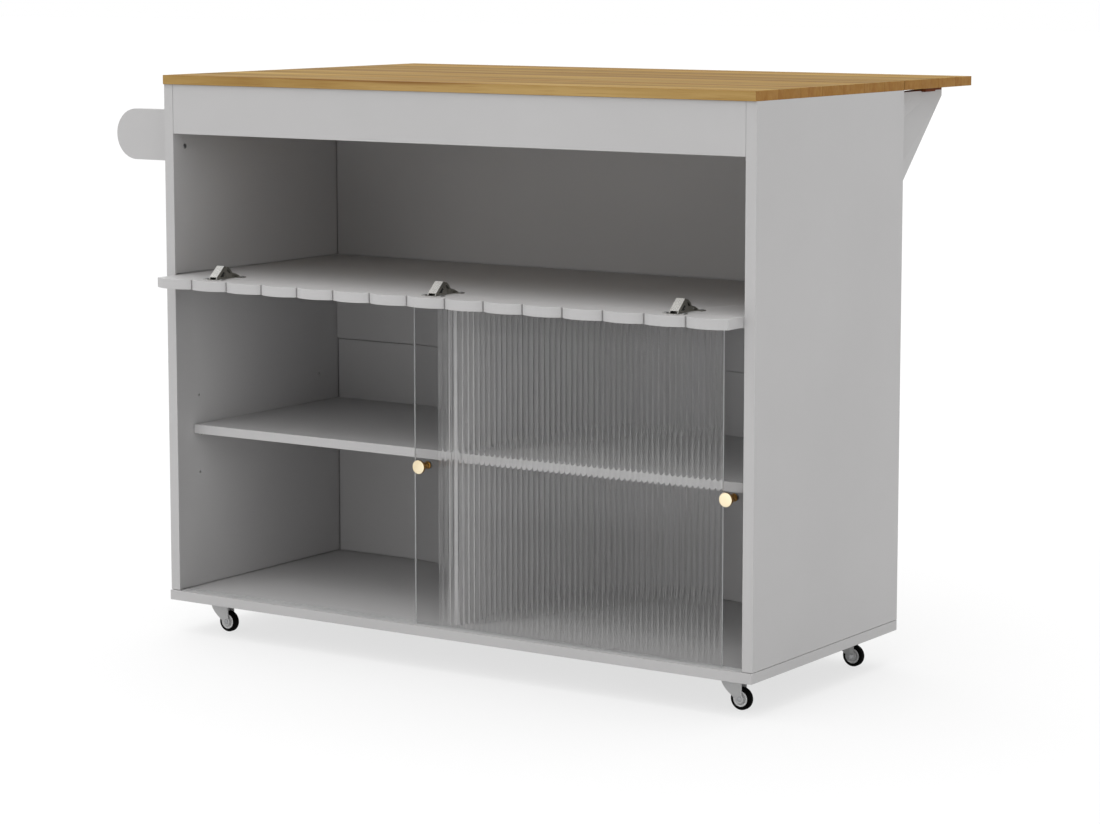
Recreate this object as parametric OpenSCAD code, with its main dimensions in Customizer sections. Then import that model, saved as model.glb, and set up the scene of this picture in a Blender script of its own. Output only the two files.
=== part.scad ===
// Rolling kitchen island: an open-fronted cabinet on four swivel casters, with a fixed shelf that
// carries a scalloped flap on three hinges, two sliding fluted glass doors on one double track,
// a drop leaf held up by two swing-out brackets, and a towel rail on the left side.
// X runs to the right along the front, Y to the back and Z up. Built in millimetres.

/* [Cabinet] */
// Width of the cabinet and of its worktop
cabinet_w = 1120; // [900:1:1300]
// Depth of the side panels, front edge to rear edge
cabinet_d = 457; // [380:1:560]
// Height from the underside of the base to the underside of the worktop
cabinet_h = 858; // [790:1:900]
// Thickness of the two side panels
side_t = 18; // [15:0.5:20]
// Thickness of the base, fixed shelf, divider, fascia and stretcher
board_t = 16; // [14.5:0.5:20]
// How far the base and the worktop stand out past the side panels at the front
front_overhang = 3; // [0:0.5:8]
// Height of the fascia board below the worktop
fascia_h = 80.5; // [50:0.5:120]
// Open joint between the fascia and each side panel
fascia_gap = 0.5; // [0.2:0.1:1.5]
// Height of the top of the fixed shelf above the underside of the base
shelf_top_z = 545; // [500:1:600]
// Width of the flat stretcher under the worktop at the back
stretcher_w = 100; // [60:1:140]

/* [Back] */
// Distance from the rear edges of the side panels to the back of the back panels
back_recess = 17; // [16:0.5:25]
// Thickness of the two back panels
back_panel_t = 5; // [3:0.5:6]
// Depth of the grooves that hold the back panels
groove_depth = 6; // [4:0.5:8]
// Height of the rail behind the fixed shelf
back_rail_h = 131; // [80:1:180]
// Thickness of that rail
back_rail_t = 15; // [12:0.5:20]
// How far the rail stands in front of the back panels
back_rail_proud = 5; // [2:0.5:6]

/* [Loose shelves] */
// Distance of the divider and the loose shelves behind the front edges of the side panels
shelf_setback = 41; // [30:1:80]
// Thickness of the loose shelves
loose_shelf_t = 15; // [12:0.5:18]
// Gap at each end of a loose shelf
loose_shelf_gap = 1; // [0.5:0.1:2]
// Height of the middle row of shelf pins
pin_row_z = 274; // [240:1:300]
// Distance between the rows of pin holes
pin_pitch = 65; // [32:1:80]
// Diameter of a shelf pin
pin_d = 5; // [4:0.5:6]
// Depth of a pin hole
pin_hole_depth = 6.5; // [5:0.1:6.8]
// How far a pin stands out of its hole
pin_stand = 8; // [6:0.5:10]
// Distance of the front pins behind the front edges of the side panels
pin_front_y = 56.7; // [48:0.1:100]
// Distance of the rear pins in front of the back panels
pin_rear_inset = 53.5; // [48:0.1:100]

/* [Worktop and leaf] */
// Thickness of the worktop and the leaf
worktop_t = 15; // [12:0.5:20]
// Depth of the drop leaf
leaf_d = 233.5; // [180:0.5:300]
// Gap between the worktop and the raised leaf
seam_gap = 1.5; // [1.5:0.1:3]

/* [Leaf brackets] */
// Reach of a bracket from its inner edge to its nose
bracket_reach = 164; // [120:1:175]
// Thickness of a bracket
bracket_t = 15; // [12:0.5:15]
// Height of the bracket's upright nose
bracket_nose_h = 13; // [8:0.5:20]
// Gap between the leaf and the bracket's nose
bracket_gap = 1.2; // [1:0.1:2]
// How far the top edge of a bracket falls from its nose to its hinge
bracket_fall = 4.5; // [2:0.5:8]
// Height of the two butt hinges of a bracket
bracket_hinge_h = 40; // [30:1:50]
// Length of the stop block under the leaf beside each bracket
stop_block_l = 34; // [20:1:60]

/* [Glass doors] */
// How much wider a sliding pane is than half the opening
pane_overlap = 20; // [12:1:30]
// Thickness of a pane over its ribs
glass_t = 5; // [4:0.5:6]
// Pitch of the ribs on the glass
flute_pitch = 10; // [8:0.5:14]
// Height of a rib
flute_h = 1.2; // [0.6:0.1:1.5]
// Width of the plain strip at the knob edge
plain_margin = 42; // [36:1:80]
// Distance of the left door's right edge from the right side panel, as it stands
left_door_gap = 40; // [40:1:80]
// Distance of a knob from the edge of its pane
knob_inset = 25; // [20:1:30]
// Height of the knobs above the underside of the base
knob_z = 273; // [200:1:340]
// Diameter of a knob's face
knob_d = 22; // [16:0.5:26]
// Length of a knob
knob_l = 25; // [18:0.5:30]

/* [Door tracks] */
// Distance of the tracks behind the front edges of the side panels
track_setback = 3; // [2:0.5:6]
// Width of the outer walls of a track
track_wall = 3.2; // [2:0.1:4]
// Width of the rib between the two channels
track_rib = 4.4; // [3.6:0.1:6]
// Height of the lower track
lower_track_h = 8; // [7:0.5:9]
// Height of the upper track
upper_track_h = 11; // [10:0.5:12]

/* [Scalloped flap] */
// Number of scallops
scallops = 15; // [10:1:20]
// Distance of the cusps between scallops from the side panels' front edges
flap_cusp_y = 44; // [42:0.5:60]
// How far a scallop stands out past its cusps
scallop_rise = 12.5; // [6:0.5:16]
// Width of the groove at each cusp
cusp_groove_w = 1.2; // [0.8:0.1:2]
// Distance of the outer flap hinges from the side panels
flap_hinge_inset = 104; // [40:1:200]

/* [Towel rail] */
// Distance of the cheeks' round ends from the cabinet's side
cheek_reach = 121; // [90:1:150]
// Height of a cheek, which is the diameter of its round end
cheek_h = 84; // [60:1:100]
// Thickness of a cheek
cheek_t = 15; // [12:0.5:18]
// Distance of each cheek from the nearer edge of the side panel
cheek_inset = 20; // [10:0.5:40]
// Distance of the towel rod below the underside of the worktop
rod_drop = 84.7; // [60:0.1:140]
// Diameter of the towel rod
rod_d = 19; // [14:0.5:25]

/* [Casters] */
// Distance of the caster pivots from the ends of the cabinet
caster_inset_x = 64; // [50:1:100]
// Distance of the caster pivots from the front and rear edges of the side panels
caster_inset_y = 53; // [45:1:80]
// Height of a caster, floor to base
caster_h = 55; // [50:0.5:75]
// Diameter of a wheel
wheel_d = 35; // [30:0.5:38]
// Width of a wheel
wheel_w = 12; // [10:0.5:16]
// Distance of the wheel's axle behind the swivel axis
caster_trail = 15.8; // [12:0.1:18]

/* [Hidden] */

$fn = 48;
// Paint and metal colours
paint = "#b5b4b4";
wood = "#b08c52";
brass = "#d9bf86";
nickel = "#c9c9cb";
steel = "#8f9194";
rubber = "#151515";
pale_plastic = "#d2d2d2";
glass_tint = [0.78, 0.80, 0.80, 0.35];
// How far a cutting shape runs past the face that it cuts
over = 1;
// Radial clearance of a pin or a screw in its hole
pin_clear = 0.05;
// Clearance of a board edge in its groove or rebate
fit_gap = 0.2;

// Places that follow from the cabinet
inner_x0 = side_t;
inner_x1 = cabinet_w - side_t;
inner_w = inner_x1 - inner_x0;
back_y1 = cabinet_d - back_recess;
back_y0 = back_y1 - back_panel_t;
shelf_low_z = shelf_top_z - board_t;
rail_y0 = back_y0 - back_rail_proud;
rail_z0 = shelf_low_z - back_rail_h;
divider_x0 = (cabinet_w - board_t) / 2;
divider_x1 = divider_x0 + board_t;
loose_shelf_z = pin_row_z + pin_d / 2;
pin_rows = [pin_row_z - pin_pitch, pin_row_z, pin_row_z + pin_pitch];
pin_columns = [pin_front_y, back_y0 - pin_rear_inset];

// Leaf and worktop
leaf_y0 = cabinet_d + seam_gap;
leaf_y1 = leaf_y0 + leaf_d;

// Butt hinges: knuckle, plate, pin and the seat's distance from the pin
knuckle_r = 2;
hinge_pin_r = 1.1;
hinge_plate_t = 1.2;
hinge_seat = 2.5;
knuckle_play = 0.2;
knuckle_root = 0.9;
leaf_hinge_w = 50;
leaf_hinge_fixed_d = 14;
leaf_hinge_moving_d = 30;
leaf_hinge_spread = 240;
leaf_hinge_y = cabinet_d + seam_gap / 2;
leaf_hinge_z = cabinet_h - hinge_seat;
leaf_hinge_x = [for (i = [-1 : 1]) cabinet_w / 2 + i * leaf_hinge_spread];

// Brackets: the outer face stands just inside the side panel, and the pin lies behind its rear edge
bracket_side_gap = 1.7;
bracket_x1 = inner_x1 - bracket_side_gap;
bracket_x0 = bracket_x1 - bracket_t;
bracket_pin_x = bracket_x1 + hinge_seat;
bracket_pin_y = cabinet_d + hinge_seat;
bracket_back_gap = 4;
bracket_y0 = cabinet_d + bracket_back_gap;
bracket_y1 = bracket_y0 + bracket_reach;
bracket_z1 = cabinet_h - bracket_gap;
bracket_foot_z = bracket_z1 - bracket_nose_h - bracket_reach;
bracket_plate_d = 15;
bracket_moving_plate_d = 20;
bracket_hinge_margin = 14;
bracket_hinge_z = [bracket_foot_z + bracket_hinge_margin + bracket_hinge_h / 2,
    bracket_z1 - bracket_fall - bracket_hinge_margin - bracket_hinge_h / 2];
stop_gap = 0.3;
stop_block_w = 8;
stop_block_h = 6;
stop_block_setback = 38;

// Door tracks and panes
channel_play = 0.3;
channel_w = glass_t + 2 * channel_play;
track_w = 2 * track_wall + track_rib + 2 * channel_w;
track_y1 = track_setback + track_w;
lower_track_proud = 1;
upper_track_proud = 2;
lower_track_floor = 3;
upper_track_floor = 1.5;
glide_gap = 0.3;
lift_room = 5;
channel_front_y = track_setback + track_wall;
channel_rear_y = channel_front_y + channel_w + track_rib;
left_pane_y = channel_front_y + channel_play;
right_pane_y = channel_rear_y + channel_play;
lower_track_z = board_t + lower_track_proud - lower_track_h;
upper_track_z = shelf_low_z - upper_track_proud;
pane_z0 = lower_track_z + lower_track_floor + glide_gap;
pane_z1 = upper_track_z + upper_track_h - upper_track_floor - lift_room;
pane_h = pane_z1 - pane_z0;
end_gap = 0.5;
pane_w = inner_w / 2 + pane_overlap;
left_pane_x = inner_x1 - left_door_gap - pane_w;
right_pane_x = inner_x1 - end_gap - pane_w;
edge_margin = 4;
flutes = floor((pane_w - plain_margin - edge_margin) / flute_pitch);
flute_steps = 6;
knob_stem_r = 5;
knob_face_t = 5;
knob_foot_r = 7;
knob_foot_t = 2;
knob_edge = 1;
knob_bore_r = 2.2;
knob_bore_depth = 12;
knob_screw_r = 2;
knob_washer_r = 6;
knob_washer_t = 1.6;
knob_screw_tip = 9;

// Flap and its hinges, whose pin lies a little above the joint between shelf and flap
flap_gap = 1;
flap_end_gap = 1;
flap_x0 = inner_x0 + flap_end_gap;
flap_w = inner_w - 2 * flap_end_gap;
scallop_pitch = flap_w / scallops;
scallop_r = (pow(scallop_pitch / 2, 2) + pow(scallop_rise, 2)) / (2 * scallop_rise);
cusp_groove_d = 4;
flap_pin_lift = 2.2;
flap_pin_y = -flap_gap / 2;
flap_pin_z = shelf_top_z + flap_pin_lift;
flap_hinge_x = [inner_x0 + flap_hinge_inset, cabinet_w / 2, inner_x1 - flap_hinge_inset];
flap_pin_r = 1;
flap_eye_r = 1.7;
cup_r = 13;
cup_depth = 10;
cup_wall = 1;
cup_back = 24;
cup_wing = 19;
cup_wing_d = 14;
cup_flange_t = 1;
cup_side_x = 6.5;
cup_plate_t = 1.2;
cup_top = 19.3;
cup_foot = 30;
cup_shoulder = 7.5;
arm_half_w = 5.3;
arm_l = 35;
arm_wing = 18;
arm_wing_d = 11;
arm_plate_t = 1.5;
arm_play = 0.4;
arm_front = flap_pin_lift - cup_flange_t - arm_play;
arm_peak_y = 5;
arm_peak_z = 16.5;
arm_brow_z = 14;
arm_back_y = 12;
arm_back_z = 11;
arm_step_y = 15;
arm_step_z = 6.5;
arm_tail_y = 24;
arm_tail_z = 4.5;

// Wood screws
screw_r = 1.6;
screw_head_r = 3.4;
screw_head_h = 1.2;
screw_crown_share = 0.72;
screw_l = 12;
leaf_screw_l = 8;
cheek_screw_r = 2;
cheek_screw_head_r = 4;
cheek_screw_head_h = 2.4;
cheek_screw_bite = 28;
cheek_screw_spread = 17.7;
rod_z = cabinet_h - rod_drop;
cheek_screw_z = [rod_z - cheek_screw_spread, rod_z + cheek_screw_spread];
confirmat_r = 2.5;
confirmat_head_r = 4.5;
confirmat_head_h = 3;
confirmat_l = 48;
confirmat_inset = 30;

// Towel rail
cheek_r = cheek_h / 2;
cheek_cx = -(cheek_reach - cheek_r);
cheek_front_y = cheek_inset;
cheek_rear_y = cabinet_d - cheek_inset - cheek_t;
rod_socket = 8;
rod_end_gap = 0.5;

// Casters: plate and kingpin on the base, fork on the kingpin, wheel on the axle
caster_plate_w = 42;
caster_plate_t = 2;
caster_hole_inset = 6;
race_r0 = 8;
race_r1 = 11;
swivel_play = 0.15;
race_h = screw_head_h + 2 * swivel_play;
kingpin_r = 5;
kingpin_head_r = 6.5;
kingpin_head_t = 1.6;
crown_t = 1.8;
crown_r = 18;
crown_z = -caster_plate_t - race_h - swivel_play - crown_t;
fork_leg_t = 1.6;
fork_gap = wheel_w + 1.8;
fork_boss_r = 7;
fork_rear_x = caster_trail + 3.6;
fork_front_x = 16;
fork_curve_z = 6;
fork_curve_share = 0.62;
fork_pull_share = 0.8;
fork_steps = 8;
axle_z = -caster_h + wheel_d / 2;
axle_r = 2.5;
axle_head_r = 4;
axle_head_t = 1.2;
axle_play = 0.1;
tyre_wall = 5.5;
tyre_round = 2.7;
hub_r = wheel_d / 2 - tyre_wall;
hub_dish = 1.2;
hub_rim = 2.2;
caster_x = [caster_inset_x, cabinet_w - caster_inset_x];
caster_y = [caster_inset_y, cabinet_d - caster_inset_y];

// The origin lies on the floor under the middle of the whole object's box
centre_x = (cabinet_w + cheek_cx - cheek_r) / 2;
centre_y = (leaf_y1 - flap_cusp_y - scallop_rise) / 2;

module placed() translate([-centre_x, -centre_y, caster_h]) children();

// Mirrors a right-hand piece to the left side of the cabinet
module mirrored() translate([cabinet_w, 0, 0]) mirror([1, 0, 0]) children();

// A box given by its two corners
module slab(low, high) translate(low) cube(high - low);

// A cylinder along X, with its first end at the given point
module rod_x(at, r, l) translate(at) rotate([0, 90, 0]) cylinder(r = r, h = l);

// A cylinder along Y, with its first end at the given point
module rod_y(at, r, l) translate(at) rotate([-90, 0, 0]) cylinder(r = r, h = l);

// A profile in Y and Z, pushed along X from x0 to x1
module push_x(x0, x1) translate([x0, 0, 0]) rotate([90, 0, 90]) linear_extrude(x1 - x0) children();

// A profile in X and Z, pushed along Y from y0 to y1
module push_y(y0, y1) translate([0, y1, 0]) rotate([90, 0, 0]) linear_extrude(y1 - y0) children();

// A wood screw that stands on its point, with the underside of its head at zero
module wood_screw(l) {
    translate([0, 0, -l]) cylinder(r = screw_r, h = l + screw_head_h / 2);
    cylinder(r1 = screw_head_r, r2 = screw_head_r * screw_crown_share, h = screw_head_h);
}

// The hole for a wood screw, a little deeper than the screw
module screw_hole(l) translate([0, 0, -l - fit_gap])
    cylinder(r = screw_r + pin_clear, h = l + fit_gap + over);

// Base, with a rebate for the lower track and pilot holes for the screws
module base_board() {
    color(paint) difference() {
        slab([0, -front_overhang, 0], [cabinet_w, cabinet_d, board_t]);
        slab([inner_x0, track_setback, lower_track_z], [inner_x1, track_y1, board_t + over]);
        caster_screw_places() screw_hole(screw_l);
        confirmat_places() confirmat_hole();
    }
}

// The screws that hold the side panels stand upright through the base
module confirmat_places() {
    for (x = [side_t / 2, cabinet_w - side_t / 2], y = [confirmat_inset, cabinet_d / 2,
        cabinet_d - confirmat_inset]) translate([x, y, 0]) children();
}

// The stepped hole of such a screw, whose head lies just inside the underside of the base
module confirmat_hole() {
    translate([0, 0, -over]) cylinder(r = confirmat_head_r + fit_gap, h = confirmat_head_h + fit_gap + over);
    cylinder(r = confirmat_r + pin_clear, h = confirmat_l + 2 * fit_gap);
}

module side_panel() {
    difference() {
        slab([inner_x1, 0, board_t], [cabinet_w, cabinet_d, cabinet_h]);
        slab([inner_x1 - over, back_y0, board_t - over],
            [inner_x1 + groove_depth, back_y1 + fit_gap, cabinet_h + over]);
        for (y = pin_columns, z = pin_rows) rod_x([inner_x1 - over, y, z], pin_d / 2 + pin_clear,
            pin_hole_depth + over);
        confirmat_places() confirmat_hole();
        for (z = bracket_hinge_z) bracket_fixed_screw_places(z) screw_hole(screw_l);
    }
}

module left_side_panel() {
    color(paint) difference() {
        mirrored() side_panel();
        cheek_screw_places() rod_x([-over, 0, 0], cheek_screw_r + pin_clear, side_t + 2 * over);
    }
}

module right_side_panel() color(paint) side_panel();

// Divider, notched at the top of its rear edge for the back rail
module center_divider() {
    color(paint) difference() {
        slab([divider_x0, shelf_setback, board_t], [divider_x1, back_y0, shelf_low_z]);
        slab([divider_x0 - over, rail_y0, rail_z0 - fit_gap],
            [divider_x1 + over, back_y0 + over, shelf_low_z + over]);
        for (y = pin_columns, z = pin_rows) {
            rod_x([divider_x0 - over, y, z], pin_d / 2 + pin_clear, pin_hole_depth + over);
            rod_x([divider_x1 - pin_hole_depth, y, z], pin_d / 2 + pin_clear, pin_hole_depth + over);
        }
    }
}

// Fixed shelf, with a rebate in its underside for the upper track
module upper_shelf() {
    color(paint) difference() {
        slab([inner_x0, 0, shelf_low_z], [inner_x1, back_y0, shelf_top_z]);
        slab([inner_x0 - over, track_setback, shelf_low_z - over],
            [inner_x1 + over, track_y1, upper_track_z + upper_track_h]);
        for (x = flap_hinge_x) flap_pivot(x) arm_screw_places() screw_hole(screw_l);
    }
}

module front_fascia() color(paint)
    slab([inner_x0 + fascia_gap, 0, cabinet_h - fascia_h], [inner_x1 - fascia_gap, board_t, cabinet_h]);

module rear_top_stretcher() color(paint)
    slab([inner_x0, back_y0 - stretcher_w, cabinet_h - board_t], [inner_x1, back_y0, cabinet_h]);

// Rail under the fixed shelf at the back, grooved below for the lower back panel
module back_rail() {
    color(paint) difference() {
        slab([inner_x0, rail_y0, rail_z0], [inner_x1, rail_y0 + back_rail_t, shelf_low_z]);
        slab([inner_x0 - over, back_y0, rail_z0 - over],
            [inner_x1 + over, back_y1 + fit_gap, rail_z0 + groove_depth]);
    }
}

module back_panel(z0, z1) slab([inner_x0 - groove_depth + fit_gap, back_y0, z0],
    [inner_x1 + groove_depth - fit_gap, back_y1, z1]);

module upper_back_panel() color(paint) back_panel(shelf_low_z, cabinet_h);

module lower_back_panel() color(paint) back_panel(board_t, rail_z0 + groove_depth - fit_gap);

// Loose shelves rest on four pins each
module left_shelf() color(paint) slab([inner_x0 + loose_shelf_gap, shelf_setback, loose_shelf_z],
    [divider_x0 - loose_shelf_gap, back_y0 - loose_shelf_gap, loose_shelf_z + loose_shelf_t]);

module right_shelf() color(paint) slab([divider_x1 + loose_shelf_gap, shelf_setback, loose_shelf_z],
    [inner_x1 - loose_shelf_gap, back_y0 - loose_shelf_gap, loose_shelf_z + loose_shelf_t]);

module shelf_pins() {
    l = pin_hole_depth - fit_gap + pin_stand;
    color(nickel) for (y = pin_columns) {
        rod_x([inner_x0 - pin_hole_depth + fit_gap, y, pin_row_z], pin_d / 2, l);
        rod_x([divider_x0 - pin_stand, y, pin_row_z], pin_d / 2, l);
        rod_x([divider_x1 - pin_hole_depth + fit_gap, y, pin_row_z], pin_d / 2, l);
        rod_x([inner_x1 - pin_stand, y, pin_row_z], pin_d / 2, l);
    }
}

// Worktop, with pilot holes for the hinge screws
module worktop() {
    color(wood) difference() {
        slab([0, -front_overhang, cabinet_h], [cabinet_w, cabinet_d, cabinet_h + worktop_t]);
        leaf_screw_places(-1) screw_hole(leaf_screw_l);
    }
}

module drop_leaf() {
    color(wood) difference() {
        slab([0, leaf_y0, cabinet_h], [cabinet_w, leaf_y1, cabinet_h + worktop_t]);
        leaf_screw_places(1) screw_hole(leaf_screw_l);
    }
}

// Double channel, open upwards
module track_profile(h, floor_t) {
    difference() {
        translate([track_setback, 0]) square([track_w, h]);
        for (y = [channel_front_y, channel_rear_y]) translate([y, floor_t]) square([channel_w, h]);
    }
}

module lower_door_track() color(paint) translate([0, 0, lower_track_z])
    push_x(inner_x0 + fit_gap, inner_x1 - fit_gap) track_profile(lower_track_h, lower_track_floor);

module upper_door_track() color(paint) translate([0, 0, upper_track_z + upper_track_h])
    push_x(inner_x0 + fit_gap, inner_x1 - fit_gap) mirror([0, 1])
        track_profile(upper_track_h, upper_track_floor);

// Cheek of the towel rail: a board with a round end and a blind socket for the rod
module cheek(y, socket_y) {
    color(paint) difference() {
        union() {
            slab([cheek_cx, y, rod_z - cheek_r], [0, y + cheek_t, rod_z + cheek_r]);
            rod_y([cheek_cx, y, rod_z], cheek_r, cheek_t);
        }
        rod_y([cheek_cx, socket_y, rod_z], rod_d / 2 + pin_clear, rod_socket + over);
        cheek_screw_places() rod_x([-cheek_screw_bite, 0, 0], cheek_screw_r + pin_clear,
            cheek_screw_bite + over);
    }
}

module towel_cheek_front() cheek(cheek_front_y, cheek_front_y + cheek_t - rod_socket);

module towel_cheek_rear() cheek(cheek_rear_y, cheek_rear_y - over);

module towel_rod() color(nickel) rod_y([cheek_cx, cheek_front_y + cheek_t - rod_socket + rod_end_gap, rod_z],
    rod_d / 2, cheek_rear_y - cheek_front_y - cheek_t + 2 * (rod_socket - rod_end_gap));

module cheek_screw_places() {
    for (y = [cheek_front_y, cheek_rear_y], z = cheek_screw_z) translate([0, y + cheek_t / 2, z]) children();
}

// Screws through the left side panel, with their heads inside the cabinet
module towel_cheek_screws() color(steel) cheek_screw_places() {
    rod_x([-cheek_screw_bite + fit_gap, 0, 0], cheek_screw_r, cheek_screw_bite + side_t);
    rod_x([side_t, 0, 0], cheek_screw_head_r, cheek_screw_head_h);
}

module cabinet_screws() color(steel) confirmat_places() translate([0, 0, fit_gap]) {
    cylinder(r = confirmat_head_r, h = confirmat_head_h);
    cylinder(r = confirmat_r, h = confirmat_l);
}

// Butt hinge half: a plate that runs along X from the pin with its seat facing -Y, and zones of
// knuckle along the pin, each from a to b
module hinge_zone(a, b, reach) translate([0, 0, a]) linear_extrude(b - a) {
    circle(r = knuckle_r);
    translate([knuckle_root, -hinge_seat]) square([reach - knuckle_root, hinge_plate_t]);
}

module hinge_plate(l, reach) translate([knuckle_r + knuckle_play, -hinge_seat, -l / 2])
    cube([reach - knuckle_r - knuckle_play, hinge_plate_t, l]);

module hinge_bore(l) translate([0, 0, -l]) cylinder(r = hinge_pin_r + pin_clear, h = 2 * l);

// Outer half: two knuckles at the ends of a hinge of length l
module hinge_outer(l, reach) difference() {
    union() {
        hinge_plate(l, reach);
        hinge_zone(-l / 2, -l / 6, reach);
        hinge_zone(l / 6, l / 2, reach);
    }
    hinge_bore(l);
    hinge_hole_places(l, reach) screw_hole(hinge_plate_t);
}

// Inner half: one knuckle in the middle
module hinge_inner(l, reach) difference() {
    union() {
        hinge_plate(l, reach);
        hinge_zone(-l / 6 + knuckle_play, l / 6 - knuckle_play, reach);
    }
    hinge_bore(l);
    hinge_hole_places(l, reach) screw_hole(hinge_plate_t);
}

// Two screw places on a plate, seen from the plate's outer face, with -Z towards the seat
module hinge_hole_places(l, reach) for (z = [-l / 3, l / 3])
    translate([(reach + knuckle_r + knuckle_play) / 2, hinge_plate_t - hinge_seat, z])
        rotate([-90, 0, 0]) children();

// Local frame of a leaf hinge: the pin along X, the seat upwards and the plate towards dir * Y
module leaf_hinge_frame(x, dir) translate([x, leaf_hinge_y, leaf_hinge_z])
    multmatrix([[0, 0, 1, 0], [dir, 0, 0, 0], [0, -1, 0, 0]]) children();

module leaf_screw_places(dir) for (x = leaf_hinge_x) leaf_hinge_frame(x, dir)
    hinge_hole_places(leaf_hinge_w, dir < 0 ? leaf_hinge_fixed_d : leaf_hinge_moving_d) children();

module leaf_hinge_fixed_plates() color(nickel) for (x = leaf_hinge_x) leaf_hinge_frame(x, -1)
    hinge_outer(leaf_hinge_w, leaf_hinge_fixed_d);

module leaf_hinge_moving_plates() color(nickel) for (x = leaf_hinge_x) leaf_hinge_frame(x, 1)
    hinge_inner(leaf_hinge_w, leaf_hinge_moving_d);

// Local frames of a right bracket hinge: the fixed plate on the side panel's rear edge, and the
// moving plate on the bracket's outer face
module bracket_fixed_frame(z) translate([bracket_pin_x, bracket_pin_y, z]) children();

module bracket_moving_frame(z) translate([bracket_pin_x, bracket_pin_y, z])
    multmatrix([[0, 1, 0, 0], [1, 0, 0, 0], [0, 0, 1, 0]]) children();

module bracket_fixed_screw_places(z) bracket_fixed_frame(z)
    hinge_hole_places(bracket_hinge_h, bracket_plate_d) children();

module fixed_plates() for (z = bracket_hinge_z) bracket_fixed_frame(z)
    hinge_outer(bracket_hinge_h, bracket_plate_d);

module moving_plates() for (z = bracket_hinge_z) bracket_moving_frame(z)
    hinge_inner(bracket_hinge_h, bracket_moving_plate_d);

module bracket_hinge_fixed_plates() color(nickel) {
    fixed_plates();
    mirrored() fixed_plates();
}

module right_bracket_hinge_plates() color(nickel) moving_plates();

module left_bracket_hinge_plates() color(nickel) mirrored() moving_plates();

// Screws of the hinge halves that stay with the cabinet
module hinge_screws() color(steel) {
    leaf_screw_places(-1) wood_screw(leaf_screw_l);
    bracket_screws();
    mirrored() bracket_screws();
    for (x = flap_hinge_x) flap_pivot(x) arm_screw_places() wood_screw(screw_l);
}

module bracket_screws() for (z = bracket_hinge_z) bracket_fixed_screw_places(z) wood_screw(screw_l);

module bracket_pins() for (z = bracket_hinge_z)
    translate([bracket_pin_x, bracket_pin_y, z - bracket_hinge_h / 2])
        cylinder(r = hinge_pin_r, h = bracket_hinge_h);

module rear_hinge_pins() color(steel) {
    for (x = leaf_hinge_x) rod_x([x - leaf_hinge_w / 2, leaf_hinge_y, leaf_hinge_z], hinge_pin_r,
        leaf_hinge_w);
    bracket_pins();
    mirrored() bracket_pins();
}

// Swing-out bracket: a three-cornered board with a short upright nose
module bracket() difference() {
    push_x(bracket_x0, bracket_x1) polygon([[bracket_y0, bracket_foot_z],
        [bracket_y1, bracket_z1 - bracket_nose_h], [bracket_y1, bracket_z1],
        [bracket_y0, bracket_z1 - bracket_fall]]);
    for (z = bracket_hinge_z) bracket_moving_frame(z)
        hinge_hole_places(bracket_hinge_h, bracket_moving_plate_d) screw_hole(screw_l);
}

module right_bracket() color(paint) bracket();

module left_bracket() color(paint) mirrored() bracket();

// Wooden blocks under the leaf that stop the brackets when they stand square
module bracket_stops() color(wood) {
    bracket_stop();
    mirrored() bracket_stop();
}

module bracket_stop() {
    x0 = bracket_x1 + stop_gap;
    y1 = bracket_y1 - stop_block_setback;
    slab([x0, y1 - stop_block_l, cabinet_h - stop_block_h], [x0 + stop_block_w, y1, cabinet_h]);
}

// Scalloped flap: round-fronted lobes side by side, with a fine groove at each cusp
module scalloped_flap() {
    front_y = -flap_cusp_y;
    color(paint) difference() {
        union() {
            slab([flap_x0, front_y, shelf_low_z], [flap_x0 + flap_w, -flap_gap, shelf_top_z]);
            for (i = [0 : scallops - 1]) intersection() {
                translate([flap_x0 + (i + 0.5) * scallop_pitch, front_y - scallop_rise + scallop_r,
                    shelf_low_z]) cylinder(r = scallop_r, h = board_t, $fn = 96);
                slab([flap_x0 + i * scallop_pitch, front_y - scallop_rise - over, shelf_low_z],
                    [flap_x0 + (i + 1) * scallop_pitch, front_y + over, shelf_top_z]);
            }
        }
        for (i = [1 : scallops - 1]) slab([flap_x0 + i * scallop_pitch - cusp_groove_w / 2,
            front_y - scallop_rise, shelf_low_z - over], [flap_x0 + i * scallop_pitch + cusp_groove_w / 2,
            front_y + cusp_groove_d, shelf_top_z + over]);
        for (x = flap_hinge_x) flap_pivot(x) {
            translate([0, -cup_back, -flap_pin_lift - cup_depth]) cylinder(r = cup_r, h = cup_depth + over);
            cup_screw_places() screw_hole(screw_l);
        }
    }
}

// Local frame of a flap hinge, at its pin
module flap_pivot(x) translate([x, flap_pin_y, flap_pin_z]) children();

module flap_bore() rod_x([-cup_wing, 0, 0], flap_pin_r + pin_clear, 2 * cup_wing);

module cup_screw_places() for (x = [-1, 1]) translate([x * (cup_wing - screw_head_r), -cup_back,
    -flap_pin_lift + cup_flange_t]) children();

module arm_screw_places() for (x = [-1, 1]) translate([x * (arm_wing - screw_head_r),
    arm_l - arm_wing_d / 2, -flap_pin_lift + arm_plate_t]) children();

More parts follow.
